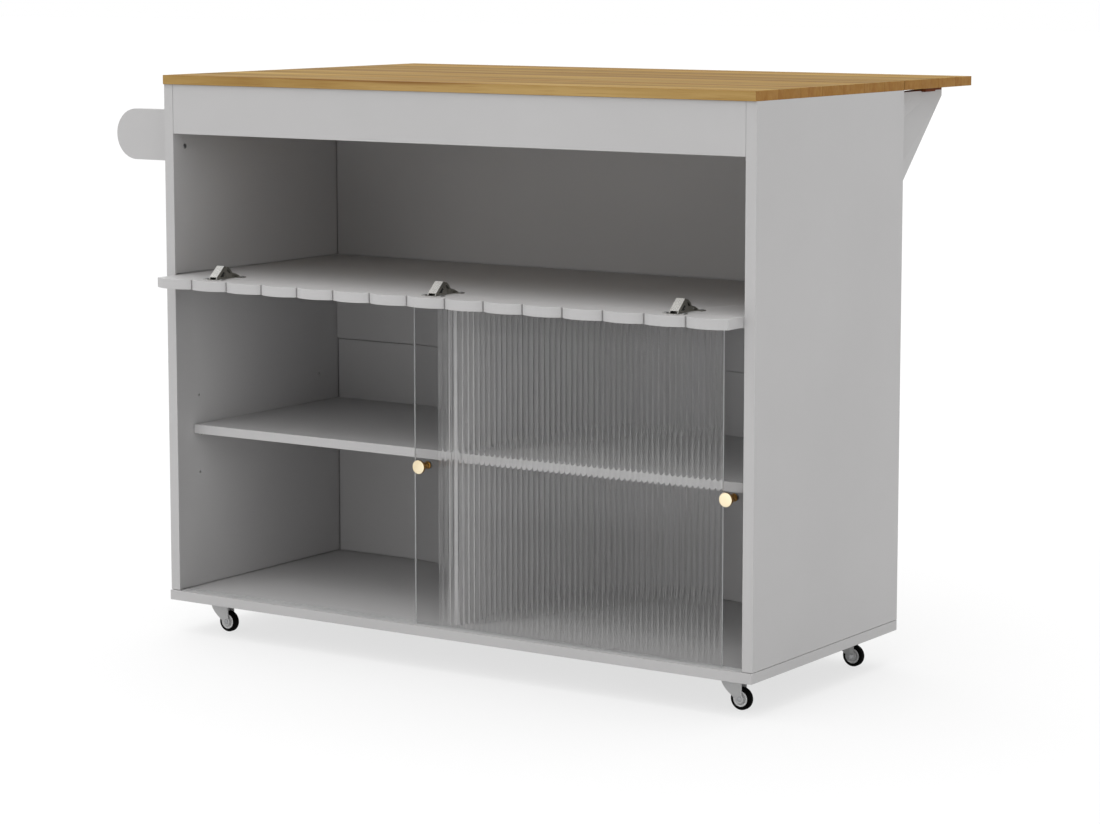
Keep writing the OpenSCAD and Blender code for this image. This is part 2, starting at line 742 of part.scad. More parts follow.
// Moving half: a cup let into the flap, and two side plates under one slanted cover plate
module flap_cup() difference() {
    union() {
        difference() {
            union() {
                translate([0, -cup_back, -flap_pin_lift - cup_depth]) cylinder(r = cup_r - fit_gap,
                    h = cup_depth + cup_flange_t);
                slab([-cup_wing, -cup_back - cup_wing_d / 2, -flap_pin_lift],
                    [cup_wing, -cup_back + cup_wing_d / 2, -flap_pin_lift + cup_flange_t]);
            }
            translate([0, -cup_back, -flap_pin_lift - cup_depth + cup_wall]) cylinder(
                r = cup_r - fit_gap - cup_wall, h = cup_depth + cup_flange_t);
            cup_screw_places() screw_hole(cup_flange_t);
        }
        for (x = [-cup_side_x - cup_plate_t, cup_side_x]) push_x(x, x + cup_plate_t) {
            polygon([[-cup_foot, -flap_pin_lift], [-cup_shoulder, cup_top], [flap_eye_r, cup_top],
                [flap_eye_r, 0], [-flap_pin_lift, -flap_pin_lift]]);
            circle(r = flap_eye_r);
        }
        push_x(-cup_side_x - cup_plate_t, cup_side_x + cup_plate_t) polygon([
            [-cup_foot, -flap_pin_lift], [-cup_shoulder, cup_top],
            [-cup_shoulder + cup_plate_t, cup_top], [-cup_foot + 2 * cup_plate_t, -flap_pin_lift]]);
    }
    flap_bore();
}

// Fixed half: an arm between the cup's side plates, on a plate screwed to the fixed shelf
module flap_arm() difference() {
    union() {
        push_x(-arm_half_w, arm_half_w) {
            polygon([[-arm_front, 0], [-arm_front, arm_brow_z], [arm_peak_y, arm_peak_z],
                [arm_back_y, arm_back_z], [arm_step_y, arm_step_z], [arm_tail_y, arm_tail_z],
                [arm_l, -flap_pin_lift + arm_plate_t], [arm_l, -flap_pin_lift],
                [flap_gap, -flap_pin_lift]]);
            circle(r = flap_eye_r);
        }
        slab([-arm_wing, arm_l - arm_wing_d, -flap_pin_lift], [arm_wing, arm_l,
            -flap_pin_lift + arm_plate_t]);
    }
    flap_bore();
    arm_screw_places() screw_hole(arm_plate_t);
}

module flap_hinge_cups() color(nickel) for (x = flap_hinge_x) flap_pivot(x) flap_cup();

module flap_hinge_arms() color(nickel) for (x = flap_hinge_x) flap_pivot(x) flap_arm();

module flap_hinge_pins() color(steel) for (x = flap_hinge_x) flap_pivot(x)
    rod_x([-cup_side_x - cup_plate_t, 0, 0], flap_pin_r, 2 * (cup_side_x + cup_plate_t));

// Pane with ribs on its front face and a plain strip at the knob edge, which is at X = 0
function rib_y(u) = flute_h * pow(2 * u - 1, 2);

module pane_profile() polygon(concat([[0, glass_t], [0, 0]],
    [for (i = [0 : flutes - 1], k = [0 : flute_steps - 1])
        [plain_margin + (i + k / flute_steps) * flute_pitch, rib_y(k / flute_steps)]],
    [[plain_margin + flutes * flute_pitch, flute_h], [pane_w, flute_h], [pane_w, glass_t]]));

module pane() difference() {
    linear_extrude(pane_h) pane_profile();
    rod_y([knob_inset, -over, knob_z - pane_z0], knob_screw_r + pin_clear, glass_t + 2 * over);
}

// Knob, turned about Y, with its foot on the glass at Y = 0
module knob() rotate([90, 0, 0]) difference() {
    rotate_extrude() polygon([[0, 0], [knob_foot_r, 0], [knob_foot_r, knob_foot_t],
        [knob_stem_r, knob_foot_t], [knob_stem_r, knob_l - knob_face_t],
        [knob_d / 2 - knob_edge, knob_l - knob_face_t], [knob_d / 2, knob_l - knob_face_t + knob_edge],
        [knob_d / 2, knob_l - knob_edge], [knob_d / 2 - knob_edge, knob_l], [0, knob_l]]);
    translate([0, 0, -over]) cylinder(r = knob_bore_r, h = knob_bore_depth + over);
}

// Screw from the back of the glass, with a flat head
module knob_screw() {
    rod_y([0, -knob_screw_tip, 0], knob_screw_r, knob_screw_tip + glass_t);
    rod_y([0, glass_t, 0], knob_washer_r, knob_washer_t);
}

module left_door_frame() translate([left_pane_x, left_pane_y, pane_z0]) children();

module right_door_frame() translate([right_pane_x + pane_w, right_pane_y, pane_z0])
    mirror([1, 0, 0]) children();

module at_knob() translate([knob_inset, 0, knob_z - pane_z0]) children();

module left_door_glass() color(glass_tint) left_door_frame() pane();

module right_door_glass() color(glass_tint) right_door_frame() pane();

module left_door_knob() color(brass) left_door_frame() at_knob() knob();

module right_door_knob() color(brass) right_door_frame() at_knob() knob();

module left_knob_screw() color(steel) left_door_frame() at_knob() knob_screw();

module right_knob_screw() color(steel) right_door_frame() at_knob() knob_screw();

// Casters
module at_casters() for (x = caster_x, y = caster_y) translate([x, y, 0]) children();

module caster_plates() color(nickel) at_casters() difference() {
    union() {
        slab([-caster_plate_w / 2, -caster_plate_w / 2, -caster_plate_t],
            [caster_plate_w / 2, caster_plate_w / 2, 0]);
        translate([0, 0, -caster_plate_t - race_h]) difference() {
            cylinder(r = race_r1, h = race_h);
            translate([0, 0, -over]) cylinder(r = race_r0, h = race_h + over);
        }
        translate([0, 0, crown_z - swivel_play - kingpin_head_t]) {
            cylinder(r = kingpin_head_r, h = kingpin_head_t);
            cylinder(r = kingpin_r, h = -crown_z + swivel_play + kingpin_head_t - caster_plate_t / 2);
        }
    }
    for (x = [-1, 1], y = [-1, 1]) translate([x, y, 0] * (caster_plate_w / 2 - caster_hole_inset))
        translate([0, 0, -caster_plate_t - over]) cylinder(r = screw_r + pin_clear,
            h = caster_plate_t + 2 * over);
}

// Places of the caster screws, each with -Z upwards into the base
module caster_screw_places() at_casters() for (x = [-1, 1], y = [-1, 1])
    translate([x, y, 0] * (caster_plate_w / 2 - caster_hole_inset)) translate([0, 0, -caster_plate_t])
        mirror([0, 0, 1]) children();

module caster_screws() color(steel) caster_screw_places() wood_screw(screw_l);

// Front edge of a fork leg: a curve from under the crown to the boss round the axle
function fork_edge(t) = let (a = [-fork_front_x, crown_z - fork_curve_z],
    b = [-fork_front_x * fork_pull_share, axle_z * fork_curve_share],
    c = [caster_trail - fork_boss_r, axle_z])
    pow(1 - t, 2) * a + 2 * t * (1 - t) * b + pow(t, 2) * c;

module fork_leg_profile() {
    polygon(concat([[fork_rear_x, axle_z], [fork_rear_x, crown_z], [-fork_front_x, crown_z]],
        [for (i = [0 : fork_steps]) fork_edge(i / fork_steps)]));
    translate([caster_trail, axle_z]) circle(r = fork_boss_r);
}

module fork(x, y) color(pale_plastic) translate([x, y, 0]) difference() {
    union() {
        translate([0, 0, crown_z]) cylinder(r = crown_r, h = crown_t);
        slab([0, -fork_gap / 2 - fork_leg_t, crown_z], [fork_rear_x, fork_gap / 2 + fork_leg_t,
            crown_z + crown_t]);
        for (s = [-1, 1]) push_y(s * (fork_gap + fork_leg_t) / 2 - fork_leg_t / 2,
            s * (fork_gap + fork_leg_t) / 2 + fork_leg_t / 2) fork_leg_profile();
    }
    translate([0, 0, crown_z - over]) cylinder(r = kingpin_r + axle_play, h = crown_t + 2 * over);
    rod_y([caster_trail, -fork_gap, axle_z], axle_r + pin_clear, 2 * fork_gap);
}

module axle(x, y) {
    half = fork_gap / 2 + fork_leg_t;
    color(steel) translate([x + caster_trail, y, axle_z]) {
        rod_y([0, -half, 0], axle_r, 2 * half);
        rod_y([0, -half - axle_head_t, 0], axle_head_r, axle_head_t);
        rod_y([0, half, 0], axle_head_r, axle_head_t);
    }
}

// Wheel centre, dished on both faces
module hub(x, y) color(pale_plastic) translate([x + caster_trail, y, axle_z]) rotate([90, 0, 0])
    rotate_extrude() polygon([[axle_r + axle_play, -wheel_w / 2], [axle_head_r, -wheel_w / 2],
        [axle_head_r + hub_dish, -wheel_w / 2 + hub_dish], [hub_r - hub_rim, -wheel_w / 2 + hub_dish],
        [hub_r - hub_rim + hub_dish, -wheel_w / 2], [hub_r, -wheel_w / 2], [hub_r, wheel_w / 2],
        [hub_r - hub_rim + hub_dish, wheel_w / 2], [hub_r - hub_rim, wheel_w / 2 - hub_dish],
        [axle_head_r + hub_dish, wheel_w / 2 - hub_dish], [axle_head_r, wheel_w / 2],
        [axle_r + axle_play, wheel_w / 2]]);

module tyre(x, y) color(rubber) translate([x + caster_trail, y, axle_z]) rotate([90, 0, 0])
    rotate_extrude($fn = 96) {
        translate([hub_r + pin_clear, -wheel_w / 2])
            square([tyre_wall - tyre_round - pin_clear, wheel_w]);
        translate([hub_r + pin_clear, -wheel_w / 2 + tyre_round])
            square([tyre_wall - pin_clear, wheel_w - 2 * tyre_round]);
        for (s = [-1, 1]) translate([wheel_d / 2 - tyre_round, s * (wheel_w / 2 - tyre_round)])
            circle(r = tyre_round, $fn = 32);
    }

placed() base_board();
placed() left_side_panel();
placed() right_side_panel();
placed() center_divider();
placed() upper_shelf();
placed() front_fascia();
placed() rear_top_stretcher();
placed() back_rail();
placed() upper_back_panel();
placed() lower_back_panel();
placed() left_shelf();
placed() right_shelf();
placed() shelf_pins();
placed() worktop();
placed() lower_door_track();
placed() upper_door_track();
placed() towel_cheek_front();
placed() towel_cheek_rear();
placed() towel_rod();
placed() towel_cheek_screws();
placed() cabinet_screws();
placed() flap_hinge_arms();
placed() flap_hinge_pins();
placed() leaf_hinge_fixed_plates();
placed() bracket_hinge_fixed_plates();
placed() rear_hinge_pins();
placed() hinge_screws();
placed() caster_plates();
placed() caster_screws();
placed() drop_leaf();
placed() leaf_hinge_moving_plates();
placed() bracket_stops();
placed() left_bracket();
placed() left_bracket_hinge_plates();
placed() right_bracket();
placed() right_bracket_hinge_plates();
placed() scalloped_flap();
placed() flap_hinge_cups();
placed() left_door_glass();
placed() left_door_knob();
placed() left_knob_screw();
placed() right_door_glass();
placed() right_door_knob();
placed() right_knob_screw();
placed() fork(caster_x[0], caster_y[0]);  // front_left_fork
placed() axle(caster_x[0], caster_y[0]);  // front_left_axle
placed() hub(caster_x[0], caster_y[0]);  // front_left_hub
placed() tyre(caster_x[0], caster_y[0]);  // front_left_tyre
placed() fork(caster_x[1], caster_y[0]);  // front_right_fork
placed() axle(caster_x[1], caster_y[0]);  // front_right_axle
placed() hub(caster_x[1], caster_y[0]);  // front_right_hub
placed() tyre(caster_x[1], caster_y[0]);  // front_right_tyre
placed() fork(caster_x[0], caster_y[1]);  // rear_left_fork
placed() axle(caster_x[0], caster_y[1]);  // rear_left_axle
placed() hub(caster_x[0], caster_y[1]);  // rear_left_hub
placed() tyre(caster_x[0], caster_y[1]);  // rear_left_tyre
placed() fork(caster_x[1], caster_y[1]);  // rear_right_fork
placed() axle(caster_x[1], caster_y[1]);  // rear_right_axle
placed() hub(caster_x[1], caster_y[1]);  // rear_right_hub
placed() tyre(caster_x[1], caster_y[1]);  // rear_right_tyre
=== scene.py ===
# Rolling kitchen island: a grey painted cabinet on casters with a glued wooden top and drop leaf,
# sliding fluted glass doors, a scalloped flap on three hinges and a towel rail on the left side.
# The sections follow the order in which the island is put together.
import bmesh
import bpy
import math
from mathutils import Matrix, Vector


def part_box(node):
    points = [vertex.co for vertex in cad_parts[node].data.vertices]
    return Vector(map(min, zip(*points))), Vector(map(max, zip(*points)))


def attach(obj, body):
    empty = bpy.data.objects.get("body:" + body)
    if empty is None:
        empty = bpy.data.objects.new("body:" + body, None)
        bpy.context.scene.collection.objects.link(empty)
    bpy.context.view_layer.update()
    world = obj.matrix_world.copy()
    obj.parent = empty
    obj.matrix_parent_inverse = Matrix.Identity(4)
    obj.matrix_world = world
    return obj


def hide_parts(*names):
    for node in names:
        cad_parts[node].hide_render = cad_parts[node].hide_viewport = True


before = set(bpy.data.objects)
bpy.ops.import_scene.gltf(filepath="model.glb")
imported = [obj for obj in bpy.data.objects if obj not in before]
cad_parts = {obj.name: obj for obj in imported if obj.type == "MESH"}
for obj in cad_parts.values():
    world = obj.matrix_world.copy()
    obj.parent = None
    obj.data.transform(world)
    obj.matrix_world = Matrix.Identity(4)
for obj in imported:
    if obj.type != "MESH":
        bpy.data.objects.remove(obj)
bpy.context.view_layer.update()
MM = 0.001


# Painted carcass. The boards are chipboard cut to size, sprayed on all sides with satin grey
# lacquer, and screwed and dowelled together. A fine shadow gap is routed along the side panels,
# the rail and the thin back panels where another board meets them.
def packed_copy(node):
    """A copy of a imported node's mesh, with its doubles merged and its flat faces whole."""
    copy = bmesh.new()
    copy.from_mesh(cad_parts[node].data)
    bmesh.ops.remove_doubles(copy, verts=copy.verts, dist=0.002 * MM)
    bmesh.ops.dissolve_limit(copy, angle_limit=math.radians(0.5), verts=copy.verts, edges=copy.edges)
    return copy


def block(low, high):
    """A box between two corners, given in any order."""
    made = bmesh.new()
    size = [abs(b - a) for a, b in zip(low, high)]
    bmesh.ops.create_cube(made, size=1, matrix=Matrix.LocRotScale((Vector(low) + Vector(high)) / 2,
                          None, size))
    return made


def evaluated_mesh(shown):
    """The mesh of an object with its modifiers, as a plain mesh."""
    return bpy.data.meshes.new_from_object(shown.evaluated_get(bpy.context.evaluated_depsgraph_get()))


def carve(copy, *cutters):
    """Cuts each of the other meshes out of the first, one after the other."""
    for cutter in cutters:
        bodies = []
        for part in (copy, cutter):
            mesh = bpy.data.meshes.new("carving")
            part.to_mesh(mesh)
            bodies.append(bpy.data.objects.new("carving", mesh))
            bpy.context.scene.collection.objects.link(bodies[-1])
        cut = bodies[0].modifiers.new("cut", "BOOLEAN")
        cut.solver = "EXACT"
        cut.object = bodies[1]
        result = evaluated_mesh(bodies[0])
        copy.clear()
        copy.from_mesh(result)
        cutter.free()
        for body in bodies:
            bpy.data.objects.remove(body)
    bmesh.ops.dissolve_limit(copy, angle_limit=math.radians(0.5), verts=copy.verts, edges=copy.edges)
    return copy


def soften(copy, width, segments=2, above=20):
    """Rounds the outer edges of a mesh that bend more than an angle."""
    sharp = [edge for edge in copy.edges if len(edge.link_faces) == 2 and edge.is_convex
             and edge.calc_face_angle(0) > math.radians(above)]
    bmesh.ops.bevel(copy, geom=sharp, offset=width, segments=segments, profile=0.5,
                    affect="EDGES", clamp_overlap=True)
    return copy


def keep(name, copy, smooth_below=20):
    """Turns a mesh into an object at the origin, smooth where it bends less than an angle."""
    mesh = bpy.data.meshes.new(name)
    copy.to_mesh(mesh)
    copy.free()
    mesh.shade_smooth()
    mesh.set_sharp_from_angle(angle=math.radians(smooth_below))
    piece = bpy.data.objects.new(name, mesh)
    bpy.context.scene.collection.objects.link(piece)
    return piece


def dress(piece, body, slot, material, *nodes):
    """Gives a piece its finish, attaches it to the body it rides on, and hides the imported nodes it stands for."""
    piece.data.materials.clear()
    piece.data.materials.append(material)
    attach(piece, body)
    if nodes:
        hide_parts(*nodes)
    return piece


def inlay(piece, material, chosen):
    """Gives the faces that a test chooses a second finish."""
    piece.data.materials.append(material)
    for face in piece.data.polygons:
        if chosen(face):
            face.material_index = len(piece.data.materials) - 1


def tone(red, green, blue, alpha=1.0):
    """A screen colour from 0 to 255, made linear."""
    steps = [c / 255 for c in (red, green, blue)]
    return tuple(c / 12.92 if c <= 0.04045 else ((c + 0.055) / 1.055) ** 2.4 for c in steps) + (alpha,)


def add(tree, kind, sockets=None, **settings):
    """Adds a node. Its sockets are given by name or number, each with a value or another's output."""
    made = tree.nodes.new(kind)
    for name, value in settings.items():
        setattr(made, name, value)
    for key, value in (sockets or {}).items():
        if isinstance(value, bpy.types.NodeSocket):
            tree.links.new(value, made.inputs[key])
        else:
            made.inputs[key].default_value = value
    return made


def new_material(name):
    """An empty node material: the material, its tree and its Principled shader."""
    material = bpy.data.materials.new(name)
    material.use_nodes = True
    return material, material.node_tree, material.node_tree.nodes["Principled BSDF"]


def new_group(name, inputs, outputs):
    """A shader node group with its sockets: the tree, its input node and its output node."""
    group = bpy.data.node_groups.new(name, "ShaderNodeTree")
    for label, kind, value in inputs:
        socket = group.interface.new_socket(label, in_out="INPUT", socket_type=kind)
        if value is not None:
            socket.default_value = value
    for label, kind in outputs:
        group.interface.new_socket(label, in_out="OUTPUT", socket_type=kind)
    return group, group.nodes.new("NodeGroupInput"), group.nodes.new("NodeGroupOutput")


def spread(tree, value, low, high, out_low=0.0, out_high=1.0):
    """Maps a value from one range to another, within its ends."""
    return add(tree, "ShaderNodeMapRange", {"Value": value, "From Min": low, "From Max": high,
               "To Min": out_low, "To Max": out_high}).outputs[0]


def make_spray_skin():
    """Sprayed or moulded skin: a fine orange peel, and a slow drift of tone and of gloss."""
    group, given, out = new_group(
        "spray_skin",
        [("Vector", "NodeSocketVector", None), ("Grain", "NodeSocketFloat", 900.0),
         ("Drift", "NodeSocketFloat", 3.0), ("Depth", "NodeSocketFloat", 0.03)],
        [("Tone", "NodeSocketFloat"), ("Gloss", "NodeSocketFloat"), ("Normal", "NodeSocketVector")])
    peel = add(group, "ShaderNodeTexNoise", {"Vector": given.outputs["Vector"],
               "Scale": given.outputs["Grain"], "Detail": 2.0})
    slow = add(group, "ShaderNodeTexNoise", {"Vector": given.outputs["Vector"],
               "Scale": given.outputs["Drift"], "Detail": 3.0, "Roughness": 0.6})
    bump = add(group, "ShaderNodeBump", {"Strength": given.outputs["Depth"], "Distance": 0.2 * MM,
               "Height": peel.outputs["Fac"]})
    group.links.new(spread(group, slow.outputs["Fac"], 0.3, 0.7), out.inputs["Tone"])
    group.links.new(spread(group, peel.outputs["Fac"], 0.3, 0.7), out.inputs["Gloss"])
    group.links.new(bump.outputs[0], out.inputs["Normal"])
    return group


spray_skin = make_spray_skin()


def skinned(name, low, high, rough_low, rough_high, grain=900.0, drift=3.0, depth=0.03):
    """A material between two tones and two roughnesses, with the sprayed skin."""
    material, tree, shader = new_material(name)
    place = add(tree, "ShaderNodeTexCoord")
    skin = add(tree, "ShaderNodeGroup", node_tree=spray_skin)
    tree.links.new(place.outputs["Object"], skin.inputs["Vector"])
    for label, value in (("Grain", grain), ("Drift", drift), ("Depth", depth)):
        skin.inputs[label].default_value = value
    colour = add(tree, "ShaderNodeMix", {0: skin.outputs["Tone"], 6: low, 7: high}, data_type="RGBA")
    rough = spread(tree, skin.outputs["Gloss"], 0.0, 1.0, rough_low, rough_high)
    tree.links.new(colour.outputs[2], shader.inputs["Base Color"])
    tree.links.new(rough, shader.inputs["Roughness"])
    tree.links.new(skin.outputs["Normal"], shader.inputs["Normal"])
    return material, shader


grey_paint, paint_shader = skinned("grey_satin_paint", tone(178, 177, 177), tone(182, 181, 181), 0.45, 0.6)
paint_shader.inputs["Specular IOR Level"].default_value = 0.35

BOARD_EDGE = 0.4 * MM
SHELF_EDGE = 0.15 * MM
GAP_W = 2.4 * MM
GAP_DEPTH = 4 * MM
GAP_START = 3 * MM
FOOT_GAP_W = 0.9 * MM
FOOT_GAP_DEPTH = 2 * MM
OVERRUN = 1 * MM

front_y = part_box("left_side_panel")[0].y
wall_back_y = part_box("left_side_panel")[1].y
left_out, left_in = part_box("left_side_panel")[0].x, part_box("left_side_panel")[1].x
right_in, right_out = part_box("right_side_panel")[0].x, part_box("right_side_panel")[1].x
back_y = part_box("upper_back_panel")[0].y
rail_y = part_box("back_rail")[0].y
rail_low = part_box("back_rail")[0].z
shelf_low, shelf_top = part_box("upper_shelf")[0].z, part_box("upper_shelf")[1].z
base_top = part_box("base_board")[1].z
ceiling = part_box("rear_top_stretcher")[0].z


def side_gaps(inner, outer):
    """Gaps in a side panel: above both shelves that meet it, and round its foot."""
    into = math.copysign(1, outer - inner)
    rear = back_y - OVERRUN
    for z in (base_top, shelf_top):
        yield block((inner - into * OVERRUN, front_y + GAP_START, z), (inner + into * GAP_DEPTH, rear, z + GAP_W))
    foot = base_top + FOOT_GAP_W
    yield block((outer + into * OVERRUN, front_y - OVERRUN, base_top - OVERRUN),
                (outer - into * FOOT_GAP_DEPTH, wall_back_y + OVERRUN, foot))
    yield block((outer + into * OVERRUN, front_y - OVERRUN, base_top - OVERRUN),
                (inner - into * OVERRUN, front_y + FOOT_GAP_DEPTH, foot))


def ends_gaps(face_y, low, high):
    """Upright gaps at both ends of a board that stands between the side panels."""
    for at, into in ((left_in, 1), (right_in, -1)):
        yield block((at - into * GAP_W, face_y - OVERRUN, low), (at + into * GAP_W, face_y + GAP_DEPTH, high))


def panel_gaps(low, high):
    """Gaps all round the part of a back panel that shows, from height low to high."""
    yield from ends_gaps(back_y, low, high)
    for z in (low, high - GAP_W):
        yield block((left_in, back_y - OVERRUN, z), (right_in, back_y + GAP_DEPTH, z + GAP_W))


CARCASS = {
    "base_board": (), "center_divider": (), "upper_shelf": (), "front_fascia": (),
    "rear_top_stretcher": (), "left_shelf": (), "right_shelf": (),
    "left_side_panel": side_gaps(left_in, left_out), "right_side_panel": side_gaps(right_in, right_out),
    "back_rail": ends_gaps(rail_y, rail_low - OVERRUN, shelf_low + OVERRUN),
    "upper_back_panel": panel_gaps(shelf_top, ceiling), "lower_back_panel": panel_gaps(base_top, rail_low)}
for node, gaps in CARCASS.items():
    board = carve(packed_copy(node), *gaps)
    soften(board, SHELF_EDGE if node == "upper_shelf" else BOARD_EDGE)
    dress(keep("painted_" + node, board), "cabinet", "painted_board", grey_paint, node)


# Worktop and drop leaf. Both are glued up from long planed strips that run along the front,
# lightly chamfered where they meet, oiled golden, with darker glue lines and end grain.
def new_rule(name, inputs):
    """A geometry node tree with named inputs: the tree, its input node and its output node."""
    tree = bpy.data.node_groups.new(name, "GeometryNodeTree")
    tree.interface.new_socket("Geometry", in_out="INPUT", socket_type="NodeSocketGeometry")
    for label, kind, value in inputs:
        socket = tree.interface.new_socket(label, in_out="INPUT", socket_type=kind)
        if value is not None:
            socket.default_value = value
    tree.interface.new_socket("Material", in_out="INPUT", socket_type="NodeSocketMaterial")
    tree.interface.new_socket("Geometry", in_out="OUTPUT", socket_type="NodeSocketGeometry")
    return tree, tree.nodes.new("NodeGroupInput"), tree.nodes.new("NodeGroupOutput")


def end_rule(tree, given, out, geometry):
    """Realizes what a rule made and gives it the material of its input."""
    real = add(tree, "GeometryNodeRealizeInstances", {"Geometry": geometry})
    done = add(tree, "GeometryNodeSetMaterial", {"Geometry": real.outputs[0],
               "Material": given.outputs["Material"]})
    tree.links.new(done.outputs[0], out.inputs["Geometry"])
    return tree


def grow(tree, sizes, start=None):
    """Runs a rule with its sizes on a starting mesh, and returns what it makes."""
    piece = bpy.data.objects.new("growing", start or bpy.data.meshes.new("growing"))
    bpy.context.scene.collection.objects.link(piece)
    modifier = piece.modifiers.new("rule", "NODES")
    modifier.node_group = tree
    for item in tree.interface.items_tree:
        if item.in_out == "INPUT" and item.name in sizes:
            modifier[item.identifier] = sizes[item.name]
    grown = bmesh.new()
    grown.from_mesh(evaluated_mesh(piece))
    piece.modifiers.remove(modifier)
    bpy.data.objects.remove(piece)
    return grown


def reckon(tree, operation, *values):
    """A sum in a node tree: its output."""
    return add(tree, "ShaderNodeMath", dict(enumerate(values)), operation=operation).outputs[0]


def vector(tree, x=0.0, y=0.0, z=0.0):
    """A vector in a node tree from three values."""
    return add(tree, "ShaderNodeCombineXYZ", {0: x, 1: y, 2: z}).outputs[0]


def make_strip_rule():
    """Strips of equal width side by side from a corner, each with its own random tone."""
    tree, given, out = new_rule("glued_strips", [
        ("Corner", "NodeSocketVector", (0, 0, 0)), ("Length", "NodeSocketFloat", 1.0),
        ("Strip width", "NodeSocketFloat", 0.04), ("Thickness", "NodeSocketFloat", 0.015),
        ("Strips", "NodeSocketInt", 10), ("Seed", "NodeSocketInt", 1)])
    length, width, height = (given.outputs[n] for n in ("Length", "Strip width", "Thickness"))
    middle = vector(tree, *(reckon(tree, "MULTIPLY", size, 0.5) for size in (length, width, height)))
    first = add(tree, "ShaderNodeVectorMath", {0: given.outputs["Corner"], 1: middle}, operation="ADD")
    line = add(tree, "GeometryNodeMeshLine", {"Count": given.outputs["Strips"],
               "Start Location": first.outputs[0], "Offset": vector(tree, y=width)})
    strip = add(tree, "GeometryNodeMeshCube", {"Size": vector(tree, length, width, height)})
    place = add(tree, "ShaderNodeSeparateXYZ", {0: add(tree, "GeometryNodeInputPosition").outputs[0]})
    across = reckon(tree, "ADD", reckon(tree, "DIVIDE", place.outputs[1], width), 0.5)
    ruled = add(tree, "GeometryNodeStoreNamedAttribute", {"Geometry": strip.outputs[0],
                "Name": "strip_across", "Value": across}, data_type="FLOAT", domain="POINT")
    laid = add(tree, "GeometryNodeInstanceOnPoints", {"Points": line.outputs[0], "Instance": ruled.outputs[0]})
    chance = add(tree, "FunctionNodeRandomValue", {"Seed": given.outputs["Seed"]}, data_type="FLOAT")
    marked = add(tree, "GeometryNodeStoreNamedAttribute", {"Geometry": laid.outputs[0],
                 "Name": "strip_tone", "Value": chance.outputs[1]}, data_type="FLOAT", domain="INSTANCE")
    return end_rule(tree, given, out, marked.outputs[0])


def stretched_noise(tree, place, scale, detail, distortion=0.0):
    """Noise drawn out by a scale along each axis."""
    drawn = add(tree, "ShaderNodeMapping", {"Vector": place, "Scale": scale})
    return add(tree, "ShaderNodeTexNoise", {"Vector": drawn.outputs[0], "Scale": 1.0, "Detail": detail,
               "Roughness": 0.6, "Distortion": distortion}).outputs["Fac"]


def blend_tones(tree, amount, first, second, way="MIX"):
    """Mixes two colours in a node tree."""
    return add(tree, "ShaderNodeMix", {0: amount, 6: first, 7: second}, data_type="RGBA",
               blend_type=way).outputs[2]


